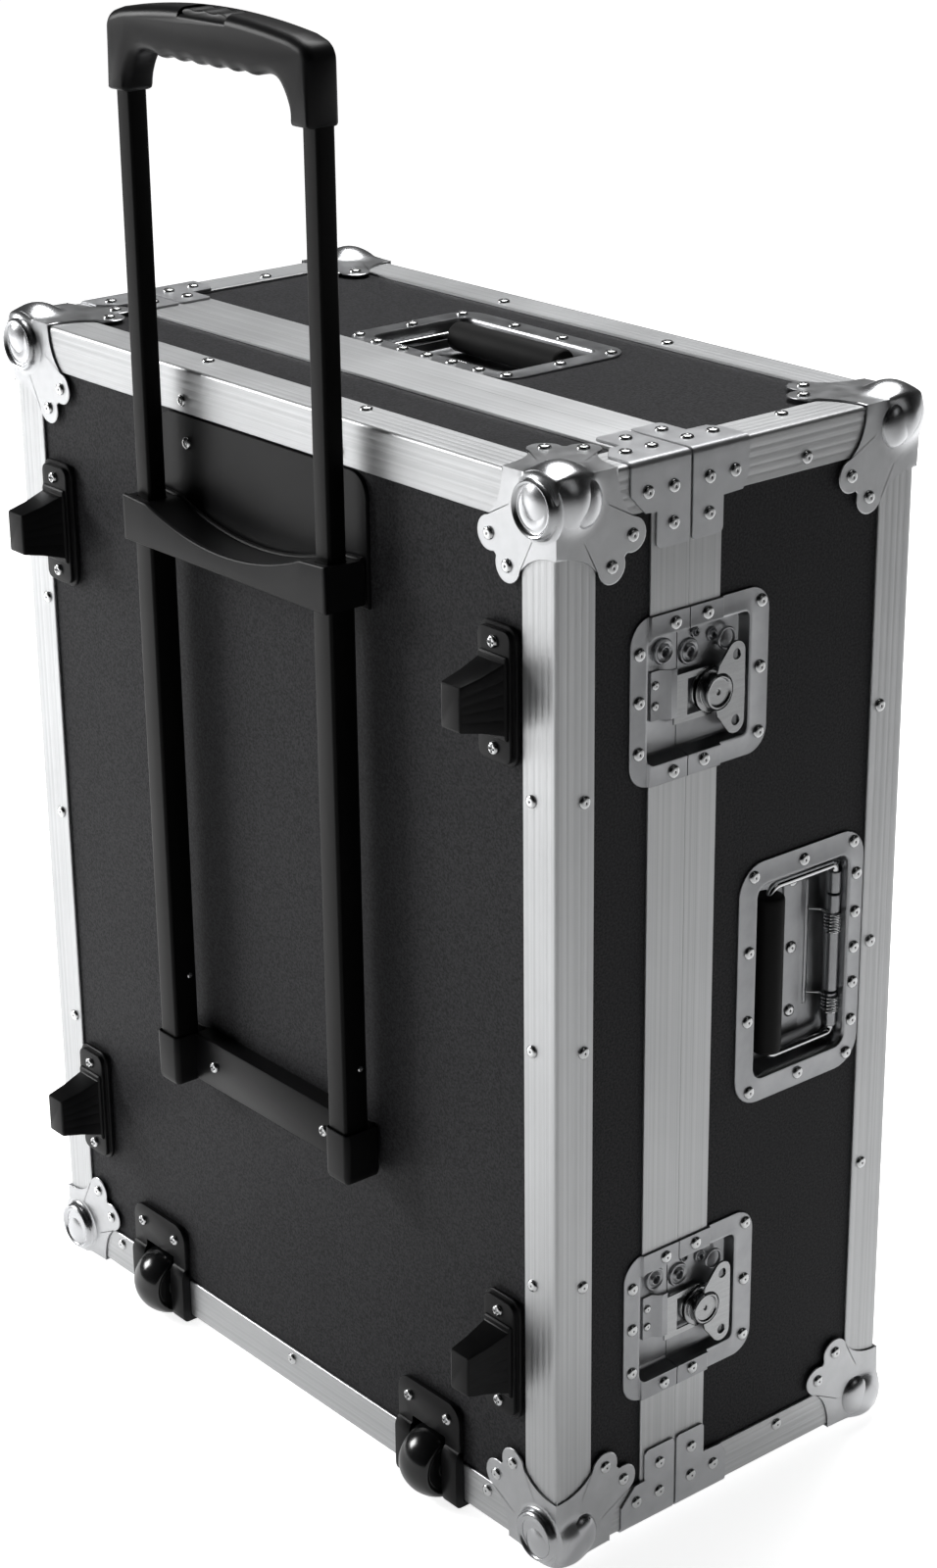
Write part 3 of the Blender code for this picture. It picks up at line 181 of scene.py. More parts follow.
# Phenolic film is a hard resin: a dull charcoal black with a weak, wide sheen,
# and a grain of about 1.5 mm, drawn coarse so that it shows.
phenolic_film, tree = blank("black_phenolic_film")
where = add(tree, "ShaderNodeTexCoord").outputs["Object"]
grain = add(tree, "ShaderNodeTexNoise", {"Vector": where, "Scale": per(1.5), "Detail": 3.0})
cells = add(tree, "ShaderNodeTexVoronoi", {"Vector": where, "Scale": per(1.6)})
wear = add(tree, "ShaderNodeTexNoise", {"Vector": where, "Scale": per(160.0), "Detail": 4.0})
height = add(tree, "ShaderNodeMath", {0: grain.outputs[0], 1: cells.outputs[0]}, operation="ADD")
speck = add(tree, "ShaderNodeMapRange", {0: grain.outputs[0], 1: 0.35, 2: 0.65})
film = add(tree, "ShaderNodeMix",
           {0: speck.outputs[0], 6: linear("252526"), 7: linear("38383A")}, data_type="RGBA")
dull = add(tree, "ShaderNodeMapRange", {0: wear.outputs[0], 3: 0.50, 4: 0.62})
relief = add(tree, "ShaderNodeBump",
             {"Height": height.outputs[0], "Strength": 0.35, "Distance": 0.0003})
shader = add(tree, "ShaderNodeBsdfPrincipled",
             {"Base Color": film.outputs[2], "Roughness": dull.outputs[0],
              "Normal": relief.outputs[0], "IOR": 1.5, "Specular IOR Level": 0.07})
wrap(shader.outputs[0], tree)
coat(("tray_box", "lid_box"), phenolic_film)


# The edges are aluminium angle, 30 mm a leg, extruded with fine ribs along the
# outside and then anodised. Each length is cut square, pushed over the boards
# and riveted through both legs; the ball corners cover the ends.

WIDTH = 562.0
DEPTH = 294.0
HEIGHT = 720.0
LEG = 30.0
LEG_THICK = 1.7
EDGE_ROUND = 2.6
RIB_PLACES = (24.4, 18.9, 13.4, 7.9)
RIB_DEPTH = 0.09
RIB_HALF = 0.6
TRAY_BAR_END = 72.7
LID_BAR_START = 129.8
HOUSING_SIDES = (124.2, 188.8)


def in_metres(points):
    """Millimetres from the trolley face and the bottom edge to the model's metres."""
    return np.asarray(points, float) / 1000 + (0.0, -0.1319, 0.0088)


def tubes(grid, shut=True):
    """Joins rings of points: each ring to the next one, its last point to its first,
    and where it is shut a flat face over the first and last ring. Leading axes are
    more tubes."""
    numbers = np.arange(grid[..., 0].size).reshape(grid.shape[:-1])
    ring = np.concatenate([numbers, numbers[..., :1]], -1)
    sides = np.stack([ring[..., :-1, :-1], ring[..., 1:, :-1],
                      ring[..., 1:, 1:], ring[..., :-1, 1:]], -1)
    ends = numbers[..., [0, -1], :].reshape(-1, grid.shape[-2])
    return [grid.reshape(-1, 3), [sides.reshape(-1, 4), ends][:1 + shut]]


def build(name, shapes, material, body, stands_for=(), sharp=34.0):
    """Joins shapes, each its points, its faces and perhaps where each point is
    along and across it, into one piece on a body. Points within a micrometre
    become one, and edges sharper than the angle stay sharp."""
    points = np.concatenate([shape[0] for shape in shapes])
    starts = np.cumsum([0] + [len(shape[0]) for shape in shapes])
    blocks = [faces + start for shape, start in zip(shapes, starts) for faces in shape[1]]
    corners = np.concatenate([block.ravel() for block in blocks])
    sizes = np.concatenate([np.full(len(block), block.shape[1]) for block in blocks])
    mesh = bpy.data.meshes.new(name)
    mesh.vertices.add(len(points))
    mesh.vertices.foreach_set("co", in_metres(points).ravel())
    mesh.loops.add(len(corners))
    mesh.loops.foreach_set("vertex_index", corners.astype(np.int32))
    mesh.polygons.add(len(sizes))
    mesh.polygons.foreach_set("loop_start", (np.cumsum(sizes) - sizes).astype(np.int32))
    if len(shapes[0]) > 2:
        lengthwise = mesh.attributes.new("lengthwise", "FLOAT_VECTOR", "POINT")
        spots = np.concatenate([shape[2] for shape in shapes])
        lengthwise.data.foreach_set("vector", spots.astype(np.float32).ravel())
    mesh.update(calc_edges=True)
    work = bmesh.new()
    work.from_mesh(mesh)
    bmesh.ops.remove_doubles(work, verts=work.verts, dist=1e-6)
    bmesh.ops.dissolve_degenerate(work, edges=work.edges, dist=1e-6)
    bmesh.ops.recalc_face_normals(work, faces=work.faces)
    work.to_mesh(mesh)
    work.free()
    mesh.shade_smooth()
    mesh.set_sharp_from_angle(angle=math.radians(sharp))
    mesh.materials.append(material)
    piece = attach(put(name, mesh), body)
    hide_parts(*stands_for)
    return piece


def angle_section():
    """Section of the angle, as distances in from its two faces: along each leg a
    shallow V at every rib, a quarter circle at the edge, and the wall behind."""
    ribs = [[(0.0, place + RIB_HALF), (RIB_DEPTH, place), (0.0, place - RIB_HALF)]
            for place in RIB_PLACES]
    leg = np.concatenate([[(0.5, LEG), (0.0, LEG - 0.5)], *ribs])
    turn = np.linspace(0, np.pi / 2, 6)
    edge = EDGE_ROUND - EDGE_ROUND * np.stack([np.cos(turn), np.sin(turn)], -1)
    back = [(LEG, LEG_THICK), (LEG_THICK, LEG_THICK), (LEG_THICK, LEG)]
    return np.concatenate([leg, edge, leg[::-1, ::-1], back])


def raised(outline, level, axis=2):
    """An outline's two coordinates with a level put in as the given axis."""
    return np.insert(np.asarray(outline, float), axis, level, axis=1)


def along_edge(section, axis, first, second, start, end):
    """Carries the section straight along an axis. first and second are the two
    faces of the edge, as an axis and a side, and the section lies in from them."""
    ends = {"x": WIDTH / 2, "y": DEPTH / 2, "z": HEIGHT / 2}
    middle = {"x": 0.0, "y": DEPTH / 2, "z": HEIGHT / 2}
    grid = np.empty((2, len(section), 3))
    grid[..., "xyz".index(axis)] = [[start], [end]]
    for (face, side), inside in zip((first, second), section.T):
        grid[..., "xyz".index(face)] = middle[face] + side * (ends[face] - inside)
    across = np.linalg.norm(np.diff(section, axis=0, prepend=section[:1]), axis=1).cumsum()
    spots = np.zeros_like(grid)
    spots[..., 0] = np.array([[start], [end]]) / 1000
    spots[..., 1] = across / 1000
    return tubes(grid) + [spots.reshape(-1, 3)]


# Anodised extrusion: a satin metal with fine and broad drawing lines along its
# length, the fine ones 0.5 mm apart so that they show, and a softly clouded gloss.
aluminium, tree = blank("anodised_extruded_aluminium")
drawn = add(tree, "ShaderNodeAttribute", attribute_name="lengthwise").outputs["Vector"]
stretch = add(tree, "ShaderNodeMapping",
              {"Vector": drawn, "Scale": (per(400.0), per(0.5), 1.0)})
lines = add(tree, "ShaderNodeTexNoise", {"Vector": stretch.outputs[0], "Scale": 1.0, "Detail": 2.0})
broad = add(tree, "ShaderNodeTexNoise", {"Vector": stretch.outputs[0], "Scale": 0.2, "Detail": 1.0})
drag = add(tree, "ShaderNodeMath", {0: lines.outputs[0], 1: broad.outputs[0]}, operation="ADD")
share = add(tree, "ShaderNodeMapRange", {0: drag.outputs[0], 1: 0.6, 2: 1.4})
where = add(tree, "ShaderNodeTexCoord").outputs["Object"]
haze = add(tree, "ShaderNodeTexNoise", {"Vector": where, "Scale": per(60.0), "Detail": 4.0})
metal = add(tree, "ShaderNodeMix",
            {0: share.outputs[0], 6: linear("ABACAD"), 7: linear("C1C2C3")}, data_type="RGBA")
satin = add(tree, "ShaderNodeMapRange", {0: haze.outputs[0], 3: 0.40, 4: 0.52})
relief = add(tree, "ShaderNodeBump",
             {"Height": lines.outputs[0], "Strength": 0.25, "Distance": 0.00008})
shader = add(tree, "ShaderNodeBsdfPrincipled",
             {"Base Color": metal.outputs[2], "Metallic": 1.0, "Roughness": satin.outputs[0],
              "Normal": relief.outputs[0]})
wrap(shader.outputs[0], tree)

SECTION = angle_section()


def frame_bars(y_side, y_ends):
    """The uprights, the top bar and the four short bars of one half."""
    face = ("y", y_side)
    bars = [along_edge(SECTION, "x", face, ("z", 1), LEG - WIDTH / 2, WIDTH / 2 - LEG)]
    for side in (-1, 1):
        bars.append(along_edge(SECTION, "z", ("x", side), face, LEG, HEIGHT - LEG))
        for level in (-1, 1):
            bars.append(along_edge(SECTION, "y", ("x", side), ("z", level), *y_ends))
    return bars


low_front = (("y", -1), ("z", -1))
tray_bars = frame_bars(-1, (LEG, TRAY_BAR_END))
for side in (-1, 1):
    tray_bars.append(along_edge(SECTION, "x", *low_front, side * HOUSING_SIDES[1],
                                side * (WIDTH / 2 - LEG)))
build("tray_edge_profiles", tray_bars, aluminium, "tray",
      ["tray_edge_frame"])
build("tray_bottom_middle_profile",
      [along_edge(SECTION, "x", *low_front, -HOUSING_SIDES[0], HOUSING_SIDES[0])],
      aluminium, "tray", ["tray_bottom_edge_middle"])
lid_bars = frame_bars(1, (LID_BAR_START, DEPTH - LEG))
lid_bars.append(along_edge(SECTION, "x", ("y", 1), ("z", -1), LEG - WIDTH / 2, WIDTH / 2 - LEG))
build("lid_edge_profiles", lid_bars, aluminium, "lid", ["lid_edge_frame"])


# Where the halves meet, each carries a closure extrusion: a band on the outside,
# 30 mm wide on the tray and 26 mm on the lid, and a tongue on the tray that enters
# a groove on the lid. The bands bend round the corners and stop at the latches.

SEAM_TRAY = 103.45
SEAM_LID = 103.55
RIM_FROM = 73.0
RIM_TO = 129.5
LATCH_MIDDLES = (572.5, 147.0)
NOTCH_HALF = 41.1
TRAY_RIM = ((0.4, RIM_FROM), (LEG_THICK, RIM_FROM), (LEG_THICK, 92.3), (9.3, 92.3), (9.3, 80.0),
            (12.3, 80.0), (12.3, SEAM_TRAY), (7.0, SEAM_TRAY), (6.6, 106.85), (4.4, 106.85),
            (4.0, SEAM_TRAY), (0.12, SEAM_TRAY), (0.0, SEAM_TRAY - 0.12), (0.0, RIM_FROM + 0.4))
LID_RIM = ((0.12, SEAM_LID), (3.6, SEAM_LID), (3.6, 107.45), (7.4, 107.45), (7.4, SEAM_LID),
           (12.3, SEAM_LID), (12.3, 127.0), (9.3, 127.0), (9.3, 114.7), (LEG_THICK, 114.7),
           (LEG_THICK, RIM_TO), (0.4, RIM_TO), (0.0, RIM_TO - 0.4),
           (0.0, SEAM_LID + 0.12))


def rounded_outline(half_a, half_b, radius, steps=6):
    """A rectangle with round corners: a quarter circle about each corner's centre."""
    turn = np.arange(4)[:, None] * np.pi / 2 + np.linspace(0, np.pi / 2, steps)
    a = np.array([[1], [-1], [-1], [1]]) * (half_a - radius) + radius * np.cos(turn)
    b = np.array([[1], [1], [-1], [-1]]) * (half_b - radius) + radius * np.sin(turn)
    return np.stack([a, b], -1).reshape(-1, 2)


def band_lengths(section):
    """Carries the section round the case in its four lengths between the latches:
    at each stop the path stands in from the outer face by the section's depth."""
    section = np.array(section)
    cuts = sorted(middle - HEIGHT / 2 + step for middle in LATCH_MIDDLES
                  for step in (-NOTCH_HALF, NOTCH_HALF))
    low, inner, high = cuts[0], cuts[1:3], cuts[3]
    inset = section[:, 0]
    path = np.stack([rounded_outline(WIDTH / 2 - deep, HEIGHT / 2 - deep, 2.7 - min(deep, 2.6), 5)
                     for deep in inset], 1)
    right, left = path[0, :, :] * (1, 0), path[0, :, :] * (-1, 0)
    loops = [
        np.concatenate([[right + (0, high)], path[:10], [left + (0, high)]]),
        np.concatenate([[left + (0, low)], path[10:], [right + (0, low)]]),
        np.stack([right + (0, inner[0]), right + (0, inner[1])]),
        np.stack([left + (0, inner[0]), left + (0, inner[1])]),
    ]
    lengths = []
    for loop in loops:
        grid = np.empty((len(loop), len(section), 3))
        grid[..., 0] = loop[..., 0]
        grid[..., 1] = section[:, 1]
        grid[..., 2] = loop[..., 1] + HEIGHT / 2
        walked = np.abs(np.diff(loop[:, 0], axis=0, prepend=loop[:1, 0])).sum(-1).cumsum()
        across = np.abs(np.diff(section, axis=0, prepend=section[:1])).sum(-1).cumsum()
        spots = np.zeros_like(grid)
        spots[..., 0] = walked[:, None] / 1000
        spots[..., 1] = across / 1000
        lengths.append(tubes(grid) + [spots.reshape(-1, 3)])
    return lengths


build("tray_closure_band", band_lengths(TRAY_RIM), aluminium, "tray",
      ["tray_closure_rim"])
build("lid_closure_band", band_lengths(LID_RIM), aluminium, "lid",
      ["lid_closure_rim"])


# At each corner the mitre is held by a bracket on either side of the seam: sheet
# steel, bent round the edge, with six rivets. All rivets on the case are nickel
# plated steel, pulled up to a round head with a small hole where the pin broke.

BRACKET_BEND = 2.6
BRACKET_LOW = 0.3
BRACKET_HIGH = 1.5
RIVET_RADIUS = 4.3
RIVET_HEIGHT = 1.9
BAR_RIVET_INSET = 22.0
SHORT_BAR_RIVET = 199.0
UPRIGHT_RIVETS = (197.0, 360.0, 523.0)
BOTTOM_RIVETS = (-213.0, 0.0, 213.0)
TOP_RIVETS = (-82.0, 82.0)


def mottled(name, tones, patch, gloss, look, grain=None, layers=3.0):
    """A material whose tone and roughness both go between two values with soft
    patches of a size. A grain gives it a fine relief: its size, the layers of its
    noise, its strength and its height in metres."""
    material, tree = blank(name)
    where = add(tree, "ShaderNodeTexCoord").outputs["Object"]
    patches = add(tree, "ShaderNodeTexNoise",
                  {"Vector": where, "Scale": per(patch), "Detail": layers})
    tone = add(tree, "ShaderNodeMix",
               {0: patches.outputs[0], 6: linear(tones[0]), 7: linear(tones[1])}, data_type="RGBA")
    dull = add(tree, "ShaderNodeMapRange", {0: patches.outputs[0], 3: gloss[0], 4: gloss[1]})
    inputs = {"Base Color": tone.outputs[2], "Roughness": dull.outputs[0], **look}
    if grain:
        size, fine_layers, strength, height = grain
        fine = add(tree, "ShaderNodeTexNoise",
                   {"Vector": where, "Scale": per(size), "Detail": fine_layers})
        relief = add(tree, "ShaderNodeBump",
                     {"Height": fine.outputs[0], "Strength": strength, "Distance": height})
        inputs["Normal"] = relief.outputs[0]
    shader = add(tree, "ShaderNodeBsdfPrincipled", inputs)
    wrap(shader.outputs[0], tree)
    return material


# Zinc on flat sheet: pale and satin, with a faint rolling mark, and clouds of a
# second tone and gloss where the plating is thin.
zinc_sheet = mottled("zinc_plated_sheet_steel", ("A4A5A7", "BCBDBF"), 14.0, (0.36, 0.48),
                     {"Metallic": 1.0}, (0.8, 2.0, 0.10, 0.0001), 4.0)

# Bright nickel: a white metal with a soft polish and a few dull clouds.
bright_nickel = mottled("bright_nickel_plate", ("B9BABA", "D4D5D6"), 9.0, (0.20, 0.30),
                        {"Metallic": 1.0})


def fold(strip, out):
    """Bends a flat strip round the case's edge: distances in from the two faces of
    a point at a place along the strip, counted from the fold, and a height over it."""
    quarter = BRACKET_BEND * np.pi / 4
    turn = np.clip(strip, -quarter, quarter) / BRACKET_BEND + np.pi / 4
    past = strip - np.clip(strip, -quarter, quarter)
    reach = BRACKET_BEND + out
    first = BRACKET_BEND - reach * np.cos(turn) + np.maximum(past, 0)
    second = BRACKET_BEND - reach * np.sin(turn) + np.maximum(-past, 0)
    return first, second


def bracket(side, level, near, far, notch):
    """A strip round the edge: its near side follows the notch line, its far side is
    straight, both round off towards the strip's ends, and its rim is rolled."""
    strip = np.array([0, 0.5, 1, 1.5, 2.04, 6, 12, 18, 21, 24, 27, 30, 30.6, 40, 48, 50, 51.4, 52.4, 53])
    strip = np.concatenate([-strip[:0:-1], strip])
    away = np.abs(strip)
    sense = np.sign(far - near)
    line = np.interp(away, *zip(*notch))
    ease = 4.0 - np.sqrt(np.maximum(16.0 - np.maximum(away - 49.0, 0) ** 2, 0))
    line = line + sense * ease * 0.8
    end = far - sense * ease * 0.4
    rim = ((0.0, BRACKET_LOW), (0.0, 1.1), (0.4, BRACKET_HIGH))
    ring = [(line + sense * step, out) for step, out in rim]
    ring += [(end - sense * step, out) for step, out in rim[::-1]]
    y = np.stack([place for place, out in ring], -1)
    out = np.broadcast_to([out for place, out in ring], y.shape)
    first, second = fold(strip[:, None], out)
    grid = np.stack([side * (WIDTH / 2 - first), y, HEIGHT / 2 + level * (HEIGHT / 2 - second)], -1)
    return tubes(grid)


def domes(places, outs, radius=RIVET_RADIUS, height=RIVET_HEIGHT, hole=0.17, turns=16):
    """Round heads: a height over each ring's radius, up from the rim to the crown
    and down into the middle hole, turned about each head's own outward line."""
    reach = np.array([1.0, 1.0, 0.97, 0.86, 0.66, hole + 0.14, hole, hole * 0.85])
    level = np.array([-0.3, 0.1, 0.38, 0.74, 0.96, 1.0, 0.9, 0.5])
    turn = np.linspace(0, 2 * np.pi, turns, endpoint=False)
    outs = np.asarray(outs, float)[:, None, None]
    side = np.roll(outs, 1, -1)
    other = np.cross(outs, side)
    ring = reach[:, None, None] * radius
    flat = ring * (np.cos(turn)[:, None] * side + np.sin(turn)[:, None] * other)
    lift = level[:, None, None] * height * outs
    return tubes(np.asarray(places, float)[:, None, None] + flat + lift)


TRAY_NOTCH = ((0, 55.5), (18, 55.5), (30, 67), (30.6, 76), (60, 76))
LID_NOTCH = ((0, 150), (21, 150), (30, 145), (30.6, 129.3), (60, 129.3))
TRAY_BRACKET_RIVETS = ((18.0, 68.6), (18.0, 89.0), (40.0, 89.0))
LID_BRACKET_RIVETS = ((18.0, 138.0), (18.0, 117.4), (40.0, 117.6))


def bracket_set(body, near, far, notch, spots):
    """The four brackets of one half, and a rivet at each spot on both their legs."""
    corners = [(side, level) for side in (-1, 1) for level in (-1, 1)]
    build(f"{body}_band_brackets", [bracket(*corner, near, far, notch) for corner in corners],
          zinc_sheet, body)
    places, outs = [], []
    for side, level in corners:
        for inset, y in spots:
            places.append((side * (WIDTH / 2 + BRACKET_HIGH), y, HEIGHT / 2 + level * (HEIGHT / 2 - inset)))
            outs.append((side, 0, 0))
            places.append((side * (WIDTH / 2 - inset), y, HEIGHT / 2 + level * (HEIGHT / 2 + BRACKET_HIGH)))
            outs.append((0, 0, level))
    return places, outs


def bar_rivets(y_side):
    """Rivets along the bars of one half, on both legs, 22 mm in from the edge. The
    short bars of the tray are too short for one."""
    face = DEPTH / 2 + y_side * DEPTH / 2
    near = face - y_side * BAR_RIVET_INSET
    places, outs = [], []
    for side in (-1, 1):
        for z in UPRIGHT_RIVETS:
            places += [(side * WIDTH / 2, near, z), (side * (WIDTH / 2 - BAR_RIVET_INSET), face, z)]
            outs += [(side, 0, 0), (0, y_side, 0)]
    for level, row in ((-1, BOTTOM_RIVETS), (1, TOP_RIVETS)):
        end = HEIGHT / 2 + level * HEIGHT / 2
        for x in row:
            places += [(x, face, end - level * BAR_RIVET_INSET), (x, near, end)]
            outs += [(0, y_side, 0), (0, 0, level)]
        if y_side > 0:
            for side in (-1, 1):
                places += [(side * WIDTH / 2, SHORT_BAR_RIVET, end - level * BAR_RIVET_INSET),
                           (side * (WIDTH / 2 - BAR_RIVET_INSET), SHORT_BAR_RIVET, end)]
                outs += [(side, 0, 0), (0, 0, level)]
    return places, outs


for body, y_side, band in (
    ("tray", -1, (SEAM_TRAY - 1.0, 55.5, TRAY_NOTCH, TRAY_BRACKET_RIVETS)),
    ("lid", 1, (SEAM_LID + 0.8, 150.0, LID_NOTCH, LID_BRACKET_RIVETS)),
):
    seam, end, notch, spots = band
    places, outs = bracket_set(body, end, seam, notch, spots)
    more_places, more_outs = bar_rivets(y_side)
    build(f"{body}_profile_rivets", [domes(places + more_places, outs + more_outs)],
          bright_nickel, body)


# Each corner is a pressed steel cap, zinc plated, of three lobed flanges round a
# polished ball, with two rivets a flange. The caps of the tray carry a round
# stacking cup on the trolley face; every ball has a smaller boss at its side.

BALL_INSET = 12.0
BALL_RADIUS = 20.8
CAP_HIGH = 13.5
CAP_LOW = 12.3
FILLET = 8.0
LOBE_NEAR = 41.0
LOBE_FAR = 57.0
LOBE_RADIUS = 10.7
SHEET = 1.2


def lobed_outline():
    """One flange's free edge, as distances in from its two folds: a hollow curve,
    round one lobe to the notch between the lobes, and the same mirrored."""
    hollow = [(-1.5, 45.4), (4.0, 45.6), (9.0, 46.3), (14.0, 47.6), (19.0, 49.6), (23.5, 52.2),
              (27.0, 55.2)]
    turn = np.radians(np.linspace(172, -20, 13))
    lobe = (LOBE_NEAR, LOBE_FAR) + LOBE_RADIUS * np.stack([np.cos(turn), np.sin(turn)], -1)
    half = np.concatenate([hollow, lobe, [(52.0, 52.0)]])
    return np.concatenate([half, half[-2::-1, ::-1]])


def cap_surface(outline, level, radius, steps, bead):
    """A flange and its third of the ball, seen from the ball's centre: rays go to
    points of a fan between the fold's corner and the outline, and the cap lies on
    each ray at the further of the ball and the flange, eased into each other."""
    start = np.array([-level, -level])
    flat = start + steps[:, None, None] * (np.maximum(outline - BALL_INSET, -level) - start)
    ray = np.concatenate([np.full(flat.shape[:2] + (1,), -level), flat], -1)
    folds = (np.maximum(-ray / level, 0) ** 14).sum(-1) ** (1 / 14)
    ray = ray / folds[..., None]
    reach = np.linalg.norm(ray, axis=-1)
    ease = np.maximum(FILLET - np.abs(reach - radius), 0) / FILLET
    grown = np.maximum(reach, radius) + ease ** 2 * FILLET / 4
    if bead:
        for near, far in ((1, 2), (2, 1)):
            beside = np.exp(-((ray[..., near] + level) / 1.9) ** 2)
            along = np.clip((ray[..., far] - 13.0) / 6.0, 0, 1) * np.clip((33.2 - ray[..., far]) / 3.0, 0, 1)
            grown = grown + 1.1 * beside * along
    return ray * (grown / reach)[..., None] + BALL_INSET


def cap():
    """The whole cap, as distances in from the three faces: the outer skin, the rim
    rolled over, and the inner skin, on each of the three flanges in turn."""
    outline = lobed_outline()
    steps = np.concatenate([np.linspace(0, 0.72, 26), (0.80, 0.88, 0.95, 0.985, 0.993)])
    outer = cap_surface(outline, CAP_HIGH, BALL_RADIUS, steps, True)
    rim = raised(outline, -1.05, 0)[None]
    inner = cap_surface(outline, CAP_LOW, BALL_RADIUS - SHEET, steps, False)
    skin = np.concatenate([outer, rim, inner[::-1]])
    numbers = np.arange(skin[..., 0].size).reshape(skin.shape[:2])
    faces = np.stack([numbers[:-1, :-1], numbers[1:, :-1], numbers[1:, 1:], numbers[:-1, 1:]], -1)
    points = np.concatenate([np.roll(skin, turn, -1).reshape(-1, 3) for turn in range(3)])
    faces = np.concatenate([faces.reshape(-1, 4) + turn * skin[..., 0].size for turn in range(3)])
    return points, faces


def turned(rings, middle, axis, turns=36):
    """A radius and a height for each ring, turned about a line along an axis."""
    turn = np.linspace(0, 2 * np.pi, turns, endpoint=False)
    radius, level = np.array(rings, float).T[..., None]
    spread = np.stack(np.broadcast_arrays(level, radius * np.cos(turn), radius * np.sin(turn)), -1)
    return np.asarray(middle) + np.roll(spread, axis, -1)


# The cup, as radius and distance in front of the trolley face: a foot that flares
# on to the flange, a rolled lip, and two steps down to a dimple.
CUP = ((22.0, 1.4), (19.6, 1.8), (18.4, 3.0), (17.9, 5.0), (17.3, 6.8), (16.3, 7.6), (15.3, 7.3),
       (14.7, 6.4), (14.0, 5.7), (13.2, 5.5), (12.4, 5.7), (11.6, 6.1), (10.6, 6.2), (6.4, 6.2),
       (5.6, 5.9), (4.8, 5.7), (3.6, 5.8), (2.4, 6.1), (0.5, 6.2))
CUP_MIDDLE = (14.0, 17.0)
BOSS_SIZE = (8.5, 13.0, 15.5)
BOSS_MIDDLE = (0.5, 20.0, 15.0)
BOSS_RINGS = ((1.0, 0.0), (0.995, 0.16), (0.96, 0.34), (0.88, 0.54), (0.74, 0.72), (0.55, 0.87),
              (0.3, 0.965), (0.1, 0.995))

# Bright plated pressing: polished on the ball, brushed down to satin on the
# flanges, with faint cloudy spots. The ball is what lies 3 mm proud of a face.
plated_pressing, tree = blank("bright_zinc_plated_pressing")
where = add(tree, "ShaderNodeTexCoord").outputs["Object"]
outside = add(tree, "ShaderNodeVectorMath", {0: where, 1: in_metres((0.0, DEPTH / 2, HEIGHT / 2)).tolist()},
              operation="SUBTRACT")
away = add(tree, "ShaderNodeVectorMath", {0: outside.outputs[0]}, operation="ABSOLUTE")
proud = add(tree, "ShaderNodeVectorMath",
            {0: away.outputs[0], 1: (WIDTH / 2000, DEPTH / 2000, HEIGHT / 2000)}, operation="SUBTRACT")
split = add(tree, "ShaderNodeSeparateXYZ", {0: proud.outputs[0]})
most = add(tree, "ShaderNodeMath", {0: split.outputs[0], 1: split.outputs[1]}, operation="MAXIMUM")
most = add(tree, "ShaderNodeMath", {0: most.outputs[0], 1: split.outputs[2]}, operation="MAXIMUM")
ball = add(tree, "ShaderNodeMapRange", {0: most.outputs[0], 1: 0.0016, 2: 0.0035})
cloud = add(tree, "ShaderNodeTexNoise", {"Vector": where, "Scale": per(12.0), "Detail": 4.0})
flange = add(tree, "ShaderNodeMapRange", {0: cloud.outputs[0], 3: 0.26, 4: 0.40})
gloss = add(tree, "ShaderNodeMix", {0: ball.outputs[0], 2: flange.outputs[0], 3: 0.27})
tone = add(tree, "ShaderNodeMix",
           {0: cloud.outputs[0], 6: linear("A6A7A8"), 7: linear("BDBEC0")}, data_type="RGBA")
tone = add(tree, "ShaderNodeMix",
           {0: ball.outputs[0], 6: tone.outputs[2], 7: linear("B9BABC")}, data_type="RGBA")
shader = add(tree, "ShaderNodeBsdfPrincipled",
             {"Base Color": tone.outputs[2], "Metallic": 1.0, "Roughness": gloss.outputs[0]})
wrap(shader.outputs[0], tree)

CAP_POINTS, CAP_FACES = cap()

for body, y_side in (("tray", -1), ("lid", 1)):
    for side_name, side in (("left", -1), ("right", 1)):
        for level_name, level in (("bottom", -1), ("top", 1)):
            way = np.array((side, y_side, level))
            corner = np.array((side * WIDTH / 2, DEPTH / 2 + y_side * DEPTH / 2,
                               HEIGHT / 2 + level * HEIGHT / 2))
            boss = turned(BOSS_RINGS, (0, 0, 0), 0) * BOSS_SIZE * way + corner
            boss -= way * BOSS_MIDDLE
            shapes = [[corner - way * CAP_POINTS, [CAP_FACES]], tubes(boss)]
            if y_side < 0:
                cup = turned(CUP, (0, 0, 0), 1) * (1, -1, 1)
                shapes.append(tubes(cup + corner - way * (CUP_MIDDLE[0], 0, CUP_MIDDLE[1])))
            name = f"ball_corner_{level_name}_{side_name}"
            build(f"{body}_{name}_cap", shapes, plated_pressing, body,
                  [f"{body}_{name}"], sharp=50)
            places, outs = [], []
            for axis in range(3):
                for spot in ((LOBE_NEAR, LOBE_FAR), (LOBE_FAR, LOBE_NEAR)):
                    places.append(corner - way * np.roll((-BRACKET_HIGH, *spot), axis))
                    outs.append(way * np.roll((1, 0, 0), axis))
            build(f"{body}_{name}_rivets", [domes(places, outs)], bright_nickel, body)


# A butterfly latch is let into each side of the seam, top and bottom. Its dish is
# drawn from one sheet and sawn through at the seam: a flange that steps up over
# the band, a rolled mouth, steep walls and a floor. Ten rivets hold each dish.

DISH_NEAR = 58.0
DISH_FAR = 171.5
DISH_HALF = 53.5
MOUTH_NEAR = 71.4
MOUTH_FAR = 155.0
MOUTH_HALF = 39.5
ON_BOARD = -0.5
ON_BAND = 1.5
DISH_FLOOR = -9.5
LATCH_AXIS_Y = 128.5
LATCH_AXIS_Z = -6.0
WING_HOLE = (14.2, 21.0)
WING_HOLE_RADIUS = 3.2
WING_LOW = 0.2
WING_HIGH = 1.7


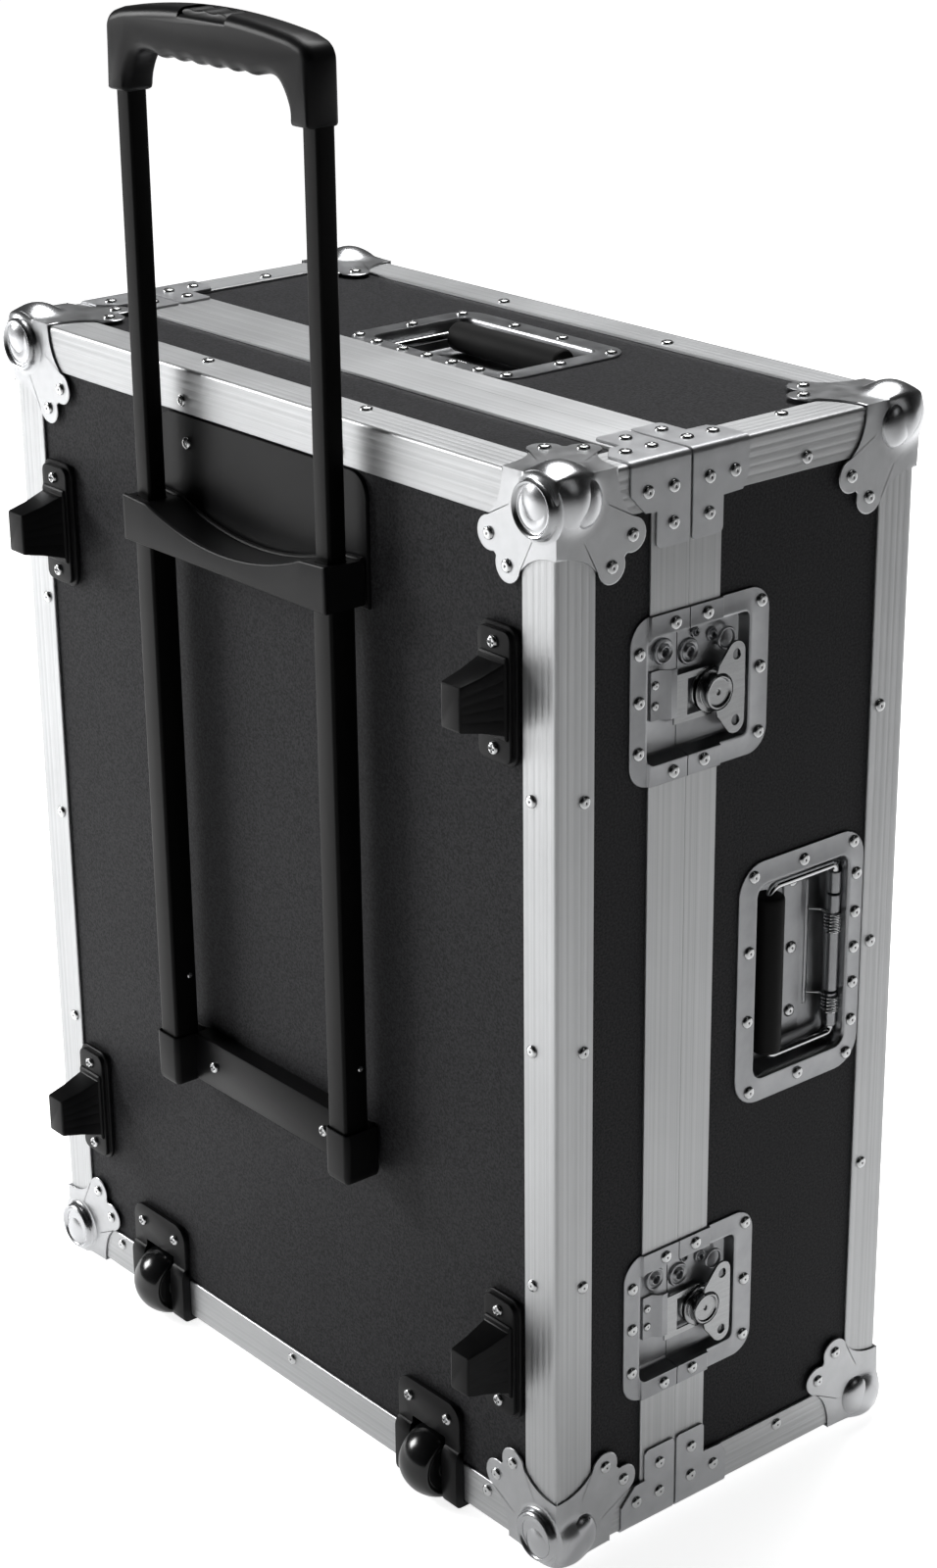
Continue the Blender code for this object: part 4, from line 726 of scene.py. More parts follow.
def u_ring(seam, way, stops, half, reach, radius, height, on_band):
    """One U, from the seam along one side, round both far corners and back: at each
    distance from the seam the side stands in by the corner's circle, and the
    flange's height falls by the step where the closure band ends."""
    reached = np.minimum(stops, reach)
    past = np.maximum(reached - reach + radius, 0)
    z = half - radius + np.sqrt(np.maximum(radius ** 2 - past ** 2, 0))
    path = np.stack([seam + way * reached, z, height + on_band(reached)], -1)
    return np.concatenate([path, path[::-1] * (1, -1, 1)])


def half_dish(seam, far, mouth, step):
    """A sheet pressed into half a dish, as y, z and height over the case's side. Each
    ring is a U from the seam round the far end and back, and the rings run from
    the flange's rim over the mouth to the floor and back underneath."""
    way = np.sign(far - seam)
    deep, opening, ramp = abs(far - seam), abs(mouth - seam), abs(step - seam)
    turn = np.sin(np.linspace(0, np.pi / 2, 9))
    stops = np.sort(np.concatenate([[0.0], ramp + np.array([-0.7, -0.3, 0.3, 0.7]),
                                    opening - 5 + 5 * turn, opening + np.array([1.2, 2.0, 2.5]),
                                    deep - 16 + 16 * turn]))

    def flange(reached):
        share = np.interp(reached - ramp, (-0.7, -0.3, 0.3, 0.7), (1.0, 0.86, 0.14, 0.0))
        return ON_BOARD + share * (ON_BAND - ON_BOARD)

    def level(reached):
        return 0.0 * reached

    rings = [u_ring(seam, way, stops, DISH_HALF - inset, deep - inset, 16.0 - inset, lift, flange)
             for inset, lift in ((0.0, -0.9), (0.0, -0.4), (0.4, 0.0))]
    rings += [u_ring(seam, way, stops, MOUTH_HALF + out, opening + out, 5.0 + out, lift, flange)
              for out, lift in ((2.6, 0.0), (1.6, 0.25), (0.6, 0.15))]
    rings += [u_ring(seam, way, stops, MOUTH_HALF - inset, opening - inset, 4.7 - inset * 0.4,
                     height, level)
              for inset, height in ((0.1, -0.5), (0.5, -1.6), (1.1, -7.2), (1.6, -8.6), (3.0, DISH_FLOOR))]
    line = rings[-1] * (0, 1, 1) + (seam, 0, 0)
    over = np.array(rings + [line])
    under = over - (0, 0, SHEET)
    walls = under[6:, :, 1]
    under[6:, :, 1] += np.sign(walls) * SHEET * (under[6:, :, 2] > -9.0)
    under[6:9, :, 2] += 0.2
    return tubes(np.concatenate([over, under[::-1]]).transpose(1, 0, 2))


def plate(outline, levels):
    """A flat plate with its edge eased: the outline repeated for each inset and height."""
    outline = np.array(outline, float)
    middle = outline.mean(0)
    along = np.roll(outline, -1, 0) - np.roll(outline, 1, 0)
    normal = np.stack([along[:, 1], -along[:, 0]], -1)
    normal /= np.linalg.norm(normal, axis=1)[:, None]
    if ((outline - middle) * normal).sum() < 0:
        normal = -normal
    return tubes(np.array([raised(outline - normal * inset, out) for inset, out in levels]))


def holed(outline, hole, radius, low, high, meets, count=48):
    """A plate round one hole: the outline and the hole's circle, seen from the hole's
    middle at the same angles, joined over the top, through the hole and below. Where
    it meets its other half on a line of z, its edge stays square and open."""
    outline = np.array(outline, float)
    shut = np.concatenate([outline, outline[:1]])
    walked = np.concatenate([[0], np.linalg.norm(np.diff(shut, axis=0), axis=1).cumsum()])
    spots = np.unique(np.concatenate([np.linspace(0, walked[-1], count, endpoint=False), walked[:-1]]))
    edge = np.stack([np.interp(spots, walked, shut[:, 0]), np.interp(spots, walked, shut[:, 1])], -1)
    ray = edge - hole
    reach = np.linalg.norm(ray, axis=1)[:, None]
    circle = hole + ray / reach * radius
    joined = np.abs(edge[:, 1] - meets) < 1e-4
    eased = np.where(joined[:, None], edge, hole + ray * (1 - 0.3 / reach))
    lip = hole + ray / reach * (radius + 0.3)
    rings = ((edge, low), (edge, high - 0.3), (eased, high), (lip, high), (circle, high - 0.3),
             (circle, low))
    grid = np.array([raised(flat, out) for flat, out in rings])
    numbers = np.arange(grid[..., 0].size).reshape(grid.shape[:2])
    ring = np.concatenate([numbers, numbers[:1]])
    ring = np.concatenate([ring, ring[:, :1]], 1)
    faces = np.stack([ring[:-1, :-1], ring[1:, :-1], ring[1:, 1:], ring[:-1, 1:]], -1).reshape(-1, 4)
    points = grid.reshape(-1, 3)
    return [points, [faces[(np.abs(points[faces][..., 1] - meets) > 1e-4).any(1)]]]


def at_latch(shape, side, middle):
    """A shape in y, z and height over the side, set on that side of the case."""
    y, z, out = shape[0].T
    return [np.stack([side * (WIDTH / 2 + out), y, middle + z], -1), *shape[1:]]


def bent_strip(section, low, high, eased=0.4):
    """A section of y and height carried along z, its ends drawn in a little."""
    section = np.array(section, float)
    inner = section.mean(0) + (section - section.mean(0)) * 0.97
    stops = ((low, inner), (low + eased, section), (high - eased, section), (high, inner))
    return tubes(np.array([raised(flat, z, 1) for z, flat in stops]))


KEEPER = ((82.0, -9.5), (88.6, -9.5), (90.4, -9.2), (93.2, -6.2), (94.8, -4.9), (99.0, -4.8),
          (99.0, -3.8), (94.4, -3.8), (92.4, -5.2), (89.8, -8.0), (88.2, -8.5), (82.0, -8.5))
KEEPER_ENDS = (-16.5, 14.5)
EYELET = ((8.3, -9.7), (8.1, -8.6), (7.5, -7.7), (6.7, -7.6), (6.0, -8.2), (5.2, -8.4), (4.6, -8.0),
          (4.2, -7.1), (3.6, -6.7), (3.0, -6.9), (2.7, -7.8), (2.6, -9.6))
TRAY_EYELETS = ((92.0, 25.4, 1.0),)
LID_EYELETS = ((112.6, 21.0, 1.0), (117.6, 32.0, 0.42), (131.5, 27.5, 0.55))
LUG_RING = (139.5, 24.5)
KEEPER_RIVETS = ((65.0, 31.5, ON_BOARD), (65.0, 1.5, ON_BOARD), (65.0, -30.5, ON_BOARD),
                 (92.0, 46.0, ON_BAND), (92.0, -47.5, ON_BAND))
LID_RIVETS = ((118.0, 46.5, ON_BAND), (117.0, -46.0, ON_BAND), (164.5, 43.5, ON_BOARD),
              (164.5, 1.5, ON_BOARD), (164.5, -40.5, ON_BOARD))
SMALL_RIVETS = ((85.5, 5.5, -8.5), (85.5, -7.5, -8.5))
LATCHES = [(f"{level}_{name}", middle, side)
           for level, middle in zip(("upper", "lower"), LATCH_MIDDLES)
           for name, side in (("right", 1), ("left", -1))]

# The dishes are drawn deep and nickel plated, so they are greyer and glossier.
drawn_sheet = mottled("nickel_plated_drawn_steel", ("8A8B8D", "A6A7A9"), 14.0, (0.26, 0.40),
                      {"Metallic": 1.0}, (0.8, 2.0, 0.10, 0.0001), 4.0)

# The drum, the wing and the hook are thicker plated steel, wiped by handling.
latch_steel, tree = blank("nickel_plated_latch_steel")
where = add(tree, "ShaderNodeTexCoord").outputs["Object"]
stretch = add(tree, "ShaderNodeMapping",
              {"Vector": where, "Scale": (per(1.0), per(14.0), per(1.2))})
wiped = add(tree, "ShaderNodeTexNoise", {"Vector": stretch.outputs[0], "Scale": 1.0, "Detail": 3.0})
tone = add(tree, "ShaderNodeMix",
           {0: wiped.outputs[0], 6: linear("949596"), 7: linear("B2B3B4")}, data_type="RGBA")
polish = add(tree, "ShaderNodeMapRange", {0: wiped.outputs[0], 3: 0.14, 4: 0.32})
relief = add(tree, "ShaderNodeBump",
             {"Height": wiped.outputs[0], "Strength": 0.12, "Distance": 0.00006})
shader = add(tree, "ShaderNodeBsdfPrincipled",
             {"Base Color": tone.outputs[2], "Metallic": 1.0, "Roughness": polish.outputs[0],
              "Normal": relief.outputs[0]})
wrap(shader.outputs[0], tree)


def eyelet(y, z, size):
    """A padlock eye pressed up from the floor: two rolled rings round a hole, turned
    about the line out of the dish."""
    return tubes(turned([(radius * size, out) for radius, out in EYELET], (y, z, 0), 2, 28))


def lug_ring():
    """The round lug behind the wing's upper tip: a wire ring, a circle carried round
    a circle, that stands on the floor."""
    turn = np.linspace(0, 2 * np.pi, 12)
    wire = np.stack([6.4 + 1.0 * np.cos(turn), -4.2 + 1.0 * np.sin(turn)], -1)
    return tubes(turned(wire, (*LUG_RING, 0), 2, 32), False)


def latch_rivets(spots, side, middle, **look):
    """Heads at (y, z, height) over the side."""
    places = [(side * (WIDTH / 2 + out), y, middle + z) for y, z, out in spots]
    return domes(places, [(side, 0, 0)] * len(spots), **look)


def about_axis(points):
    """Moves y and z counted from the latch's axis to the latch's middle."""
    return [(y + LATCH_AXIS_Y, z + LATCH_AXIS_Z) for y, z in points]


def wing_half(level):
    """Outline of the upper or lower half of the wing, from the boss's notch out to
    the tip's round corner and back to the middle line."""
    notch = np.radians(np.linspace(0, 97, 10))
    tip = np.radians(np.linspace(140, 0, 10))
    points = np.concatenate([
        11.6 * np.stack([np.cos(notch), np.sin(notch)], -1),
        [(-1.3, 13.4), (-0.6, 16.2)],
        (13.9, 22.0) + 7.5 * np.stack([np.cos(tip), np.sin(tip)], -1),
        [(21.4, 0.0)],
    ])
    return about_axis(points * (1, level))


DRUM = ((14.0, -9.2), (14.2, -8.8), (14.2, -7.4), (13.8, -6.9), (11.3, -6.9), (10.9, -6.4),
        (10.7, -4.9), (13.5, -4.8), (14.0, -4.4), (14.0, -3.9), (13.5, -3.5), (11.0, -3.4),
        (10.7, -3.1), (10.7, 0.6), (10.7, 1.5), (10.4, 2.2), (9.9, 2.5), (9.3, 2.4), (8.9, 1.8),
        (8.5, 1.2), (7.9, 1.0), (7.6, 1.0), (2.5, 1.1), (2.2, 1.1), (1.7, 0.8), (1.5, 0.0))

for name, middle, side in LATCHES:
    near = [half_dish(SEAM_TRAY - 0.3, DISH_NEAR, MOUTH_NEAR, 72.2), bent_strip(KEEPER, *KEEPER_ENDS),
            *(eyelet(*spot) for spot in TRAY_EYELETS)]
    build(f"latch_keeper_dish_{name}_pressing", [at_latch(shape, side, middle) for shape in near],
          drawn_sheet, "tray", [f"latch_keeper_dish_{name}"])
    build(f"latch_keeper_rivets_{name}",
          [latch_rivets(KEEPER_RIVETS, side, middle),
           latch_rivets(SMALL_RIVETS, side, middle, radius=3.0, height=1.3)],
          bright_nickel, "tray")
    far = [half_dish(SEAM_LID + 0.3, DISH_FAR, MOUTH_FAR, 131.4),
           *(eyelet(*spot) for spot in LID_EYELETS), lug_ring()]
    build(f"latch_lid_dish_{name}_pressing", [at_latch(shape, side, middle) for shape in far],
          drawn_sheet, "lid", [f"latch_lid_dish_{name}"])
    build(f"latch_lid_rivets_{name}", [latch_rivets(LID_RIVETS, side, middle)], bright_nickel,
          "lid")
    drum = tubes(turned(DRUM, (LATCH_AXIS_Y, LATCH_AXIS_Z, 0), 2, 32))
    build(f"latch_rotor_{name}_drum", [at_latch(drum, side, middle)], latch_steel,
          f"latch_rotor_{name}", [f"latch_rotor_{name}"])
    halves = [holed(wing_half(level), about_axis([(WING_HOLE[0], level * WING_HOLE[1])])[0],
                    WING_HOLE_RADIUS, WING_LOW, WING_HIGH, meets=LATCH_AXIS_Z) for level in (1, -1)]
    build(f"latch_wing_{name}_plate", [at_latch(half, side, middle) for half in halves],
          latch_steel, f"latch_wing_{name}", [f"latch_wing_{name}"])
coat([f"latch_hook_{name}" for name, middle, side in LATCHES], latch_steel)


# Two spring handles are let into the lid, one in the right side and one in the
# top. Each has a pressed dish in a riveted frame, a hinge along one side with two
# coil springs, and a chromed wire bail with a black rubber grip.

FRAME_U = 111.4
FRAME_V = 84.0
MOUTH_U = (13.0, 95.5)
MOUTH_V = 67.5
HINGE_U = 18.4
GRIP_U = 77.0
ROD_OUT = -8.3
WIRE = 2.75
SIDE_EDGE_Y = 263.6
SIDE_MIDDLE_Z = 360.0
TOP_EDGE_Y = 129.9
RIB_FOOT = -20.3


def handle_dish():
    """A sheet pressed into a dish, in u from the hinge edge, v and height: rounded
    rectangles from the frame's rim over the rolled mouth to the floor and back."""
    middle = (MOUTH_U[0] + MOUTH_U[1]) / 2
    half = (MOUTH_U[1] - MOUTH_U[0]) / 2
    rims = ((0.0, -1.3, 20.0), (0.0, -0.9, 20.0), (0.4, ON_BOARD, 20.0))
    rings = [(FRAME_U / 2, FRAME_U / 2 - inset, FRAME_V - inset, radius - inset, out)
             for inset, out, radius in rims]
    mouth = ((-2.6, ON_BOARD), (-1.5, -0.2), (-0.6, -0.35), (0.1, -1.1), (0.5, -2.6), (1.4, -16.5),
             (2.2, -18.6), (4.2, -20.0))
    rings += [(middle, half - inset, MOUTH_V - inset, 8.5 - inset * 0.6, out) for inset, out in mouth]
    over = np.array([raised(rounded_outline(across, long, max(radius, 1.0), 8) + (centre, 0), out)
                     for centre, across, long, radius, out in rings])
    under = over - (0, 0, SHEET)
    outward = np.sign(over[..., :2] - (middle, 0)) * SHEET
    under[6:, :, :2] += outward[6:] * (over[6:, :, 2:] > -19.0)
    return tubes(np.concatenate([over[::-1], under]))


def along_wire(path, radius, turns=14):
    """A round section carried along a path of points: square to the path's direction
    at each point, with one side turned the same way all along."""
    path = np.asarray(path, float)
    way = np.gradient(path, axis=0)
    way /= np.linalg.norm(way, axis=1)[:, None]
    guide = np.array((0.0, 0.0, 1.0)) if abs(way[:, 2]).max() < 0.9 else np.array((0.31, 0.95, 0.0))
    side = np.cross(way, guide)
    side /= np.linalg.norm(side, axis=1)[:, None]
    other = np.cross(side, way)
    turn = np.linspace(0, 2 * np.pi, turns, endpoint=False)[:, None]
    radius = np.broadcast_to(radius, len(path))[:, None, None]
    return tubes(path[:, None] + radius * (np.cos(turn) * side[:, None] + np.sin(turn) * other[:, None]))


def bend(middle, start, end, radius, count=8):
    """Part of a circle in the u, v plane at the bail's height."""
    turn = np.radians(np.linspace(start, end, count))
    return np.column_stack([middle[0] + radius * np.cos(turn), middle[1] + radius * np.sin(turn),
                            np.full(count, ROD_OUT)])


def coil(start, end, radius, wire, turns):
    """A spring about the hinge: a helix of so many turns with short straight legs."""
    turn = np.linspace(0, 2 * np.pi * turns, 14 * turns + 1)
    v = np.linspace(start, end, len(turn))
    path = np.stack([HINGE_U + radius * np.cos(turn), v, ROD_OUT + radius * np.sin(turn)], -1)
    leg = [(HINGE_U + 13.0, end + 1.5, -17.6), (HINGE_U + 6.5, end + 0.8, -12.5)]
    return along_wire(np.concatenate([path, leg[::-1]]), wire, 8)


def set_side(shape):
    """A shape in u, v and height, set in the right side of the lid."""
    u, v, out = shape[0].T
    return [np.stack([WIDTH / 2 + out, SIDE_EDGE_Y - u, SIDE_MIDDLE_Z + v], -1), *shape[1:]]


def set_top(shape):
    """A shape in u, v and height, set in the top of the lid."""
    u, v, out = shape[0].T
    return [np.stack([v, TOP_EDGE_Y + u, HEIGHT + out], -1), *shape[1:]]


def hinge_part(rings):
    """A radius for each v, turned about the hinge line."""
    return tubes(turned(rings, (HINGE_U, 0, ROD_OUT), 1, 24))


def grip_part(rings):
    """A radius for each v, turned about the grip's line and a little flattened."""
    return tubes(turned(rings, (0, 0, 0), 1, 32) * (0.98, 1, 1) + (GRIP_U, 0, ROD_OUT))


def knuckle(start, end):
    """A rolled hinge knuckle with its edges broken."""
    return hinge_part(((3.0, start), (3.9, start), (4.2, start + 0.4), (4.2, end - 0.4), (3.9, end),
                       (3.0, end)))


def straight_rib(u, start, end, height, half):
    """A rib pressed up from the dish's floor, round along its top and at its ends."""
    v = np.array([start, start + 0.8, start + 2.5, end - 2.5, end - 0.8, end])
    lift = np.array([0.05, 0.7, 1.0, 1.0, 0.7, 0.05])[:, None] * height
    turn = np.linspace(0, np.pi, 9)
    grid = np.stack(np.broadcast_arrays(u + half * np.cos(turn), v[:, None],
                                        RIB_FOOT + lift * np.sin(turn)), -1)
    return tubes(grid)


BEND = 7.0
BAIL_V = 59.5
loop = np.concatenate([
    [(HINGE_U, -BAIL_V + 8.0, ROD_OUT), (HINGE_U, -BAIL_V + 4.0, ROD_OUT)],
    bend((HINGE_U + 4.0, -BAIL_V + 4.0), 180, 270, 4.0),
    bend((GRIP_U - BEND, -BAIL_V + BEND), -90, 0, BEND),
    bend((GRIP_U - BEND, BAIL_V - BEND), 0, 90, BEND),
    bend((HINGE_U + 4.0, BAIL_V - 4.0), 90, 180, 4.0),
    [(HINGE_U, BAIL_V - 4.0, ROD_OUT), (HINGE_U, BAIL_V - 8.0, ROD_OUT)],
])
STOP_PLATE = ((37.0, -56.0), (53.0, -56.0), (53.0, 61.0), (37.0, 61.0))
FLOOR_RIVETS = ((45.5, -40.0, -19.0), (45.5, 5.0, -19.0), (45.5, 52.0, -19.0))
FRAME_RIVETS = [(u, v, ON_BOARD) for u in (10.0, 55.0, 99.0) for v in (-75.0, 75.0)]
FRAME_RIVETS += [(102.0, v, ON_BOARD) for v in (-24.0, 24.0)]
FRAME_RIVETS += [(6.5, v, ON_BOARD) for v in (-52.0, -25.0, 0.0, 25.0, 52.0)]
GRIP_RINGS = ((6.5, -54.5), (8.6, -54.3), (9.6, -53.4), (10.0, -51.8), (10.0, 51.8), (9.6, 53.4),
              (8.6, 54.3), (6.5, 54.5))

pressings = [
    handle_dish(), knuckle(-54.5, -31.0), knuckle(-29.5, 38.5), knuckle(40.0, 54.5),
    plate(STOP_PLATE, ((0.0, -20.2), (0.0, -19.3), (0.3, -19.0))),
    straight_rib(59.0, -43.0, 53.0, 2.2, 2.4), straight_rib(31.0, -40.0, 50.0, 1.6, 1.8),
]
springs = [coil(13.0, 27.0, 5.4, 0.75, 6), coil(-44.0, -32.0, 5.4, 0.75, 5)]

# Chromed wire: the brightest metal on the case, with faint soft clouds.
chromed_wire = mottled("chromed_steel_wire", ("C6C7C8", "DEDFE0"), 6.0, (0.06, 0.15),
                       {"Metallic": 1.0})

# Moulded rubber: matt, nearly black, with a fine sanded grain and a pale bloom.
moulded_rubber = mottled("moulded_black_rubber", ("0D0D0D", "161616"), 25.0, (0.58, 0.74),
                         {"IOR": 1.5, "Specular IOR Level": 0.15}, (0.7, 3.0, 0.3, 0.0003))

for name, place, out_way in (("side", set_side, (1, 0, 0)), ("top", set_top, (0, 0, 1))):
    build(f"{name}_handle_pressing", [place(shape) for shape in pressings], drawn_sheet, "lid",
          [f"{name}_handle_dish"])
    build(f"{name}_handle_springs", [place(shape) for shape in springs], chromed_wire, "lid")
    spots = place([np.array([*FRAME_RIVETS, *FLOOR_RIVETS], float)])[0]
    build(f"{name}_handle_rivets", [domes(spots, [out_way] * len(spots))], bright_nickel, "lid")
    build(f"{name}_handle_wire", [place(along_wire(loop, WIRE))], chromed_wire, f"{name}_handle",
          [f"{name}_handle_bail"])
    build(f"{name}_handle_grip_sleeve", [place(grip_part(GRIP_RINGS))], moulded_rubber,
          f"{name}_handle", [f"{name}_handle_rubber"])


# Four feet stand on the trolley face, moulded in black nylon: a two-step base
# plate held by two plated pan-head screws, and a tapered block with shallow
# grooves down its sides, on which the case is laid flat.

FOOT_X = 232.5
FOOT_Z = 223.5
FOOT_FRONT = -39.0
FOOT_PLATE = -6.0
FOOT_SCREWS = (-33.0, 33.0)

# Moulded nylon: a dark grey-black with the fine spark grain of its mould, here
# 1.2 mm so that it shows, and a soft satin sheen.
moulded_nylon = mottled("moulded_black_nylon", ("0E0E0F", "171718"), 45.0, (0.32, 0.44),
                        {"IOR": 1.53, "Specular IOR Level": 0.11}, (1.2, 2.0, 0.14, 0.0002))


def screw_heads(places, radius=4.0, turns=40):
    """Pan heads that face the trolley side: a rounded height over each ring's
    radius, less the cross recess, which is deep where a point lies near either
    arm's line and inside its reach."""
    reach = np.array([1.0, 1.0, 0.97, 0.9, 0.78, 0.66, 0.58, 0.46, 0.34, 0.22, 0.1])[:, None] * radius
    level = np.array([-0.4, 0.7, 1.2, 1.7, 2.05, 2.2, 2.25, 2.3, 2.32, 2.34, 2.35])[:, None]
    turn = np.linspace(0, 2 * np.pi, turns, endpoint=False)
    u, v = reach * np.cos(turn), reach * np.sin(turn)
    arm = np.minimum(np.abs(u), np.abs(v)) - 0.16 * radius
    inside = np.clip(0.5 - arm / 0.35, 0, 1) * np.clip((0.62 * radius - reach) / 0.3, 0, 1)
    head = np.stack([u, -(level - 1.4 * inside), v], -1)
    return tubes(np.asarray(places, float)[:, None, None] + head)


def carried(outline, levels):
    """An outline in x and z carried forward: for each inset and y of levels, the
    outline moved in by that much along its normals."""
    return flat_to_face(plate(outline, levels))


def flat_to_face(shape):
    """Turns a shape in x, z and y to x, y, z."""
    return [shape[0][:, [0, 2, 1]], *shape[1:]]


def foot_block():
    """The tapered block: rounded rectangles that shrink evenly from the plate to the
    front. Along the two long sides, four V grooves stand in by a third of a
    millimetre, so the outline is dented at the same shares of its height."""
    share = np.array([1.0, 0.62, 0.58, 0.54, 0.22, 0.18, 0.14, -0.14, -0.18, -0.22, -0.54, -0.58,
                      -0.62, -1.0])
    dent = np.array([0, 0, 1, 0, 0, 1, 0, 0, 1, 0, 0, 1, 0, 0])
    stations = ((12.9, 26.2, -5.4), (12.8, 26.0, -7.0), (12.3, 25.0, -7.8), (12.0, 22.6, -8.0),
                (11.8, 22.0, -8.6), (10.2, 17.2, -24.0),
                (8.8, 14.3, FOOT_FRONT + 1.2), (8.3, 13.8, FOOT_FRONT + 0.35), (7.4, 12.9, FOOT_FRONT))
    rings = []
    for half_x, half_z, y in stations:
        corner = rounded_outline(half_x, half_z, 1.0, 4)
        depth = 0.18 * dent * (FOOT_FRONT + 1.5 < y < -8.2)
        side = np.stack([half_x - depth, share * (half_z - 1.0)], -1)
        outline = np.concatenate([corner[:4], corner[4:8], side[::-1] * (-1, -1), corner[8:12],
                                  corner[12:], side[::-1]])
        rings.append(raised(outline, y, 1))
    return tubes(np.array(rings))


def moved(shape, by):
    """A shape moved."""
    return [shape[0] + by, *shape[1:]]


base_plate = carried(rounded_outline(17.0, 43.5, 8.0),
                     ((0.0, -0.3), (0.0, -2.2), (0.5, -2.7), (2.3, -2.9), (2.5, -3.2), (2.5, -5.4),
                      (2.9, -5.9), (3.4, FOOT_PLATE)))
for side_name, side in (("left", -1), ("right", 1)):
    for level_name, level in (("bottom", -1), ("top", 1)):
        place = np.array((side * FOOT_X, 0.0, HEIGHT / 2 + level * FOOT_Z))
        name = f"foot_{level_name}_{side_name}"
        build(f"{name}_moulding", [moved(base_plate, place), moved(foot_block(), place)],
              moulded_nylon, "tray", [name], sharp=20)
        build(f"{name}_screws", [screw_heads([place + (0, FOOT_PLATE, step) for step in FOOT_SCREWS])],
              bright_nickel, "tray")


# Two rollers sit in nylon housings let into the lower edge. A screwed plate covers
# the board; below it a thicker shell wraps under the edge on both sides of the
# slot, and a closed well behind keeps dirt out of the tray.

WHEEL_X = 156.5
WHEEL_Y = 3.0
WHEEL_Z = 17.3
WHEEL_RADIUS = 26.0
SLOT_HALF = 17.0
HOUSING_HALF = 32.0
SLOT_TOP = 44.4
HOUSING_SHELL = ((-3.5, 39.5), (-4.3, 38.9), (-5.4, 37.3), (-6.3, 35.3), (-6.9, 33.2), (-7.0, 31.0),
                 (-7.0, 3.0), (-6.8, 0.6), (-6.1, -1.6), (-4.9, -3.2), (-3.0, -4.0), (26.4, -4.0),
                 (27.0, -3.4), (27.0, -0.3), (-0.3, -0.3), (-0.3, 39.5))
WELL = ((-2.0, SLOT_TOP), (31.3, SLOT_TOP), (31.3, -0.3), (33.6, -0.3), (33.6, 46.6), (-2.0, 46.6))
ROLLER_END = ((3.4, 13.2), (6.2, 13.2), (6.6, 14.2), (8.6, 14.2), (9.0, 13.2), (16.6, 13.2),
              (17.4, 14.0), (18.8, 14.5), (20.6, 14.4), (21.8, 13.8))


def across_x(section, start, end, eased=0.5):
    """A section of y and z carried along x, its two ends drawn in a little."""
    section = np.array(section, float)
    smaller = section.mean(0) + (section - section.mean(0)) * 0.98
    stops = ((start, smaller), (start + eased, section), (end - eased, section), (end, smaller))
    return tubes(np.array([raised(flat, x, 0) for x, flat in stops]))


def housing_plate():
    """Front outline of the plate: round at the top corners, notched for the slot."""
    turn = np.radians(np.linspace(0, 90, 9))
    corner = np.stack([HOUSING_HALF - 12 + 12 * np.cos(turn), 61 + 12 * np.sin(turn)], -1)
    right = np.concatenate([[(SLOT_HALF, SLOT_TOP), (SLOT_HALF, 34.0), (HOUSING_HALF, 34.0)], corner])
    return np.concatenate([right, right[::-1] * (-1, 1)])


def roller():
    """The roller turned about its axle: between its two ends the radius is that of a
    ball, the root of the wheel's radius squared less the distance along squared."""
    along = np.linspace(-12.8, 12.8, 15)
    tread = np.stack([np.sqrt(WHEEL_RADIUS ** 2 - along ** 2), along], -1)
    rings = np.concatenate([np.array(ROLLER_END) * (1, -1), tread, ROLLER_END[::-1]])
    return tubes(turned([*rings, rings[0]], (0, WHEEL_Y, WHEEL_Z), 0, 56), False)


# Cast polyurethane tread: black and glossy, with faint scuffs round it.
roller_tread = mottled("cast_black_polyurethane", ("0E0E0F", "191A1A"), 7.0, (0.12, 0.26),
                       {"IOR": 1.5}, layers=4.0)

for side_name, side in (("left", -1), ("right", 1)):
    place = np.array((side * WHEEL_X, 0.0, 0.0))
    shapes = [carried(housing_plate(), ((0.0, -0.3), (0.0, -2.7), (0.3, -3.3), (0.8, -3.5))),
              across_x(WELL, -SLOT_HALF - 3.2, SLOT_HALF + 3.2, 0.2)]
    for way in (-1, 1):
        inner, outer = sorted((way * SLOT_HALF, way * HOUSING_HALF))
        shapes.append(across_x(HOUSING_SHELL, inner, outer))
        inner, outer = sorted((way * SLOT_HALF, way * (SLOT_HALF + 3.2)))
        shapes.append(across_x(((-2.0, -0.3), (33.6, -0.3), (33.6, 46.6), (-2.0, 46.6)), inner, outer, 0.2))
    build(f"wheel_housing_{side_name}_moulding", [moved(shape, place) for shape in shapes],
          moulded_nylon, "tray", [f"wheel_housing_{side_name}"])
    axle = turned(((2.0, -18.3), (3.0, -17.8), (3.0, 17.8), (2.0, 18.3)), (0, WHEEL_Y, WHEEL_Z), 0, 20)
    heads = screw_heads([(-20.0, -3.5, 60.0), (20.0, -3.5, 60.0)])
    build(f"wheel_housing_{side_name}_axle_and_screws",
          [moved(tubes(axle), place), moved(heads, place)], bright_nickel, "tray")
    build(f"wheel_{side_name}_roller", [moved(roller(), place)], roller_tread,
          f"wheel_{side_name}", [f"wheel_{side_name}"])


# The trolley's fixed part stands on the board: two rectangular steel tubes,
# painted satin black, held by a screwed nylon bracket below and a nylon collar
# above, which sits in front of a riveted plate.

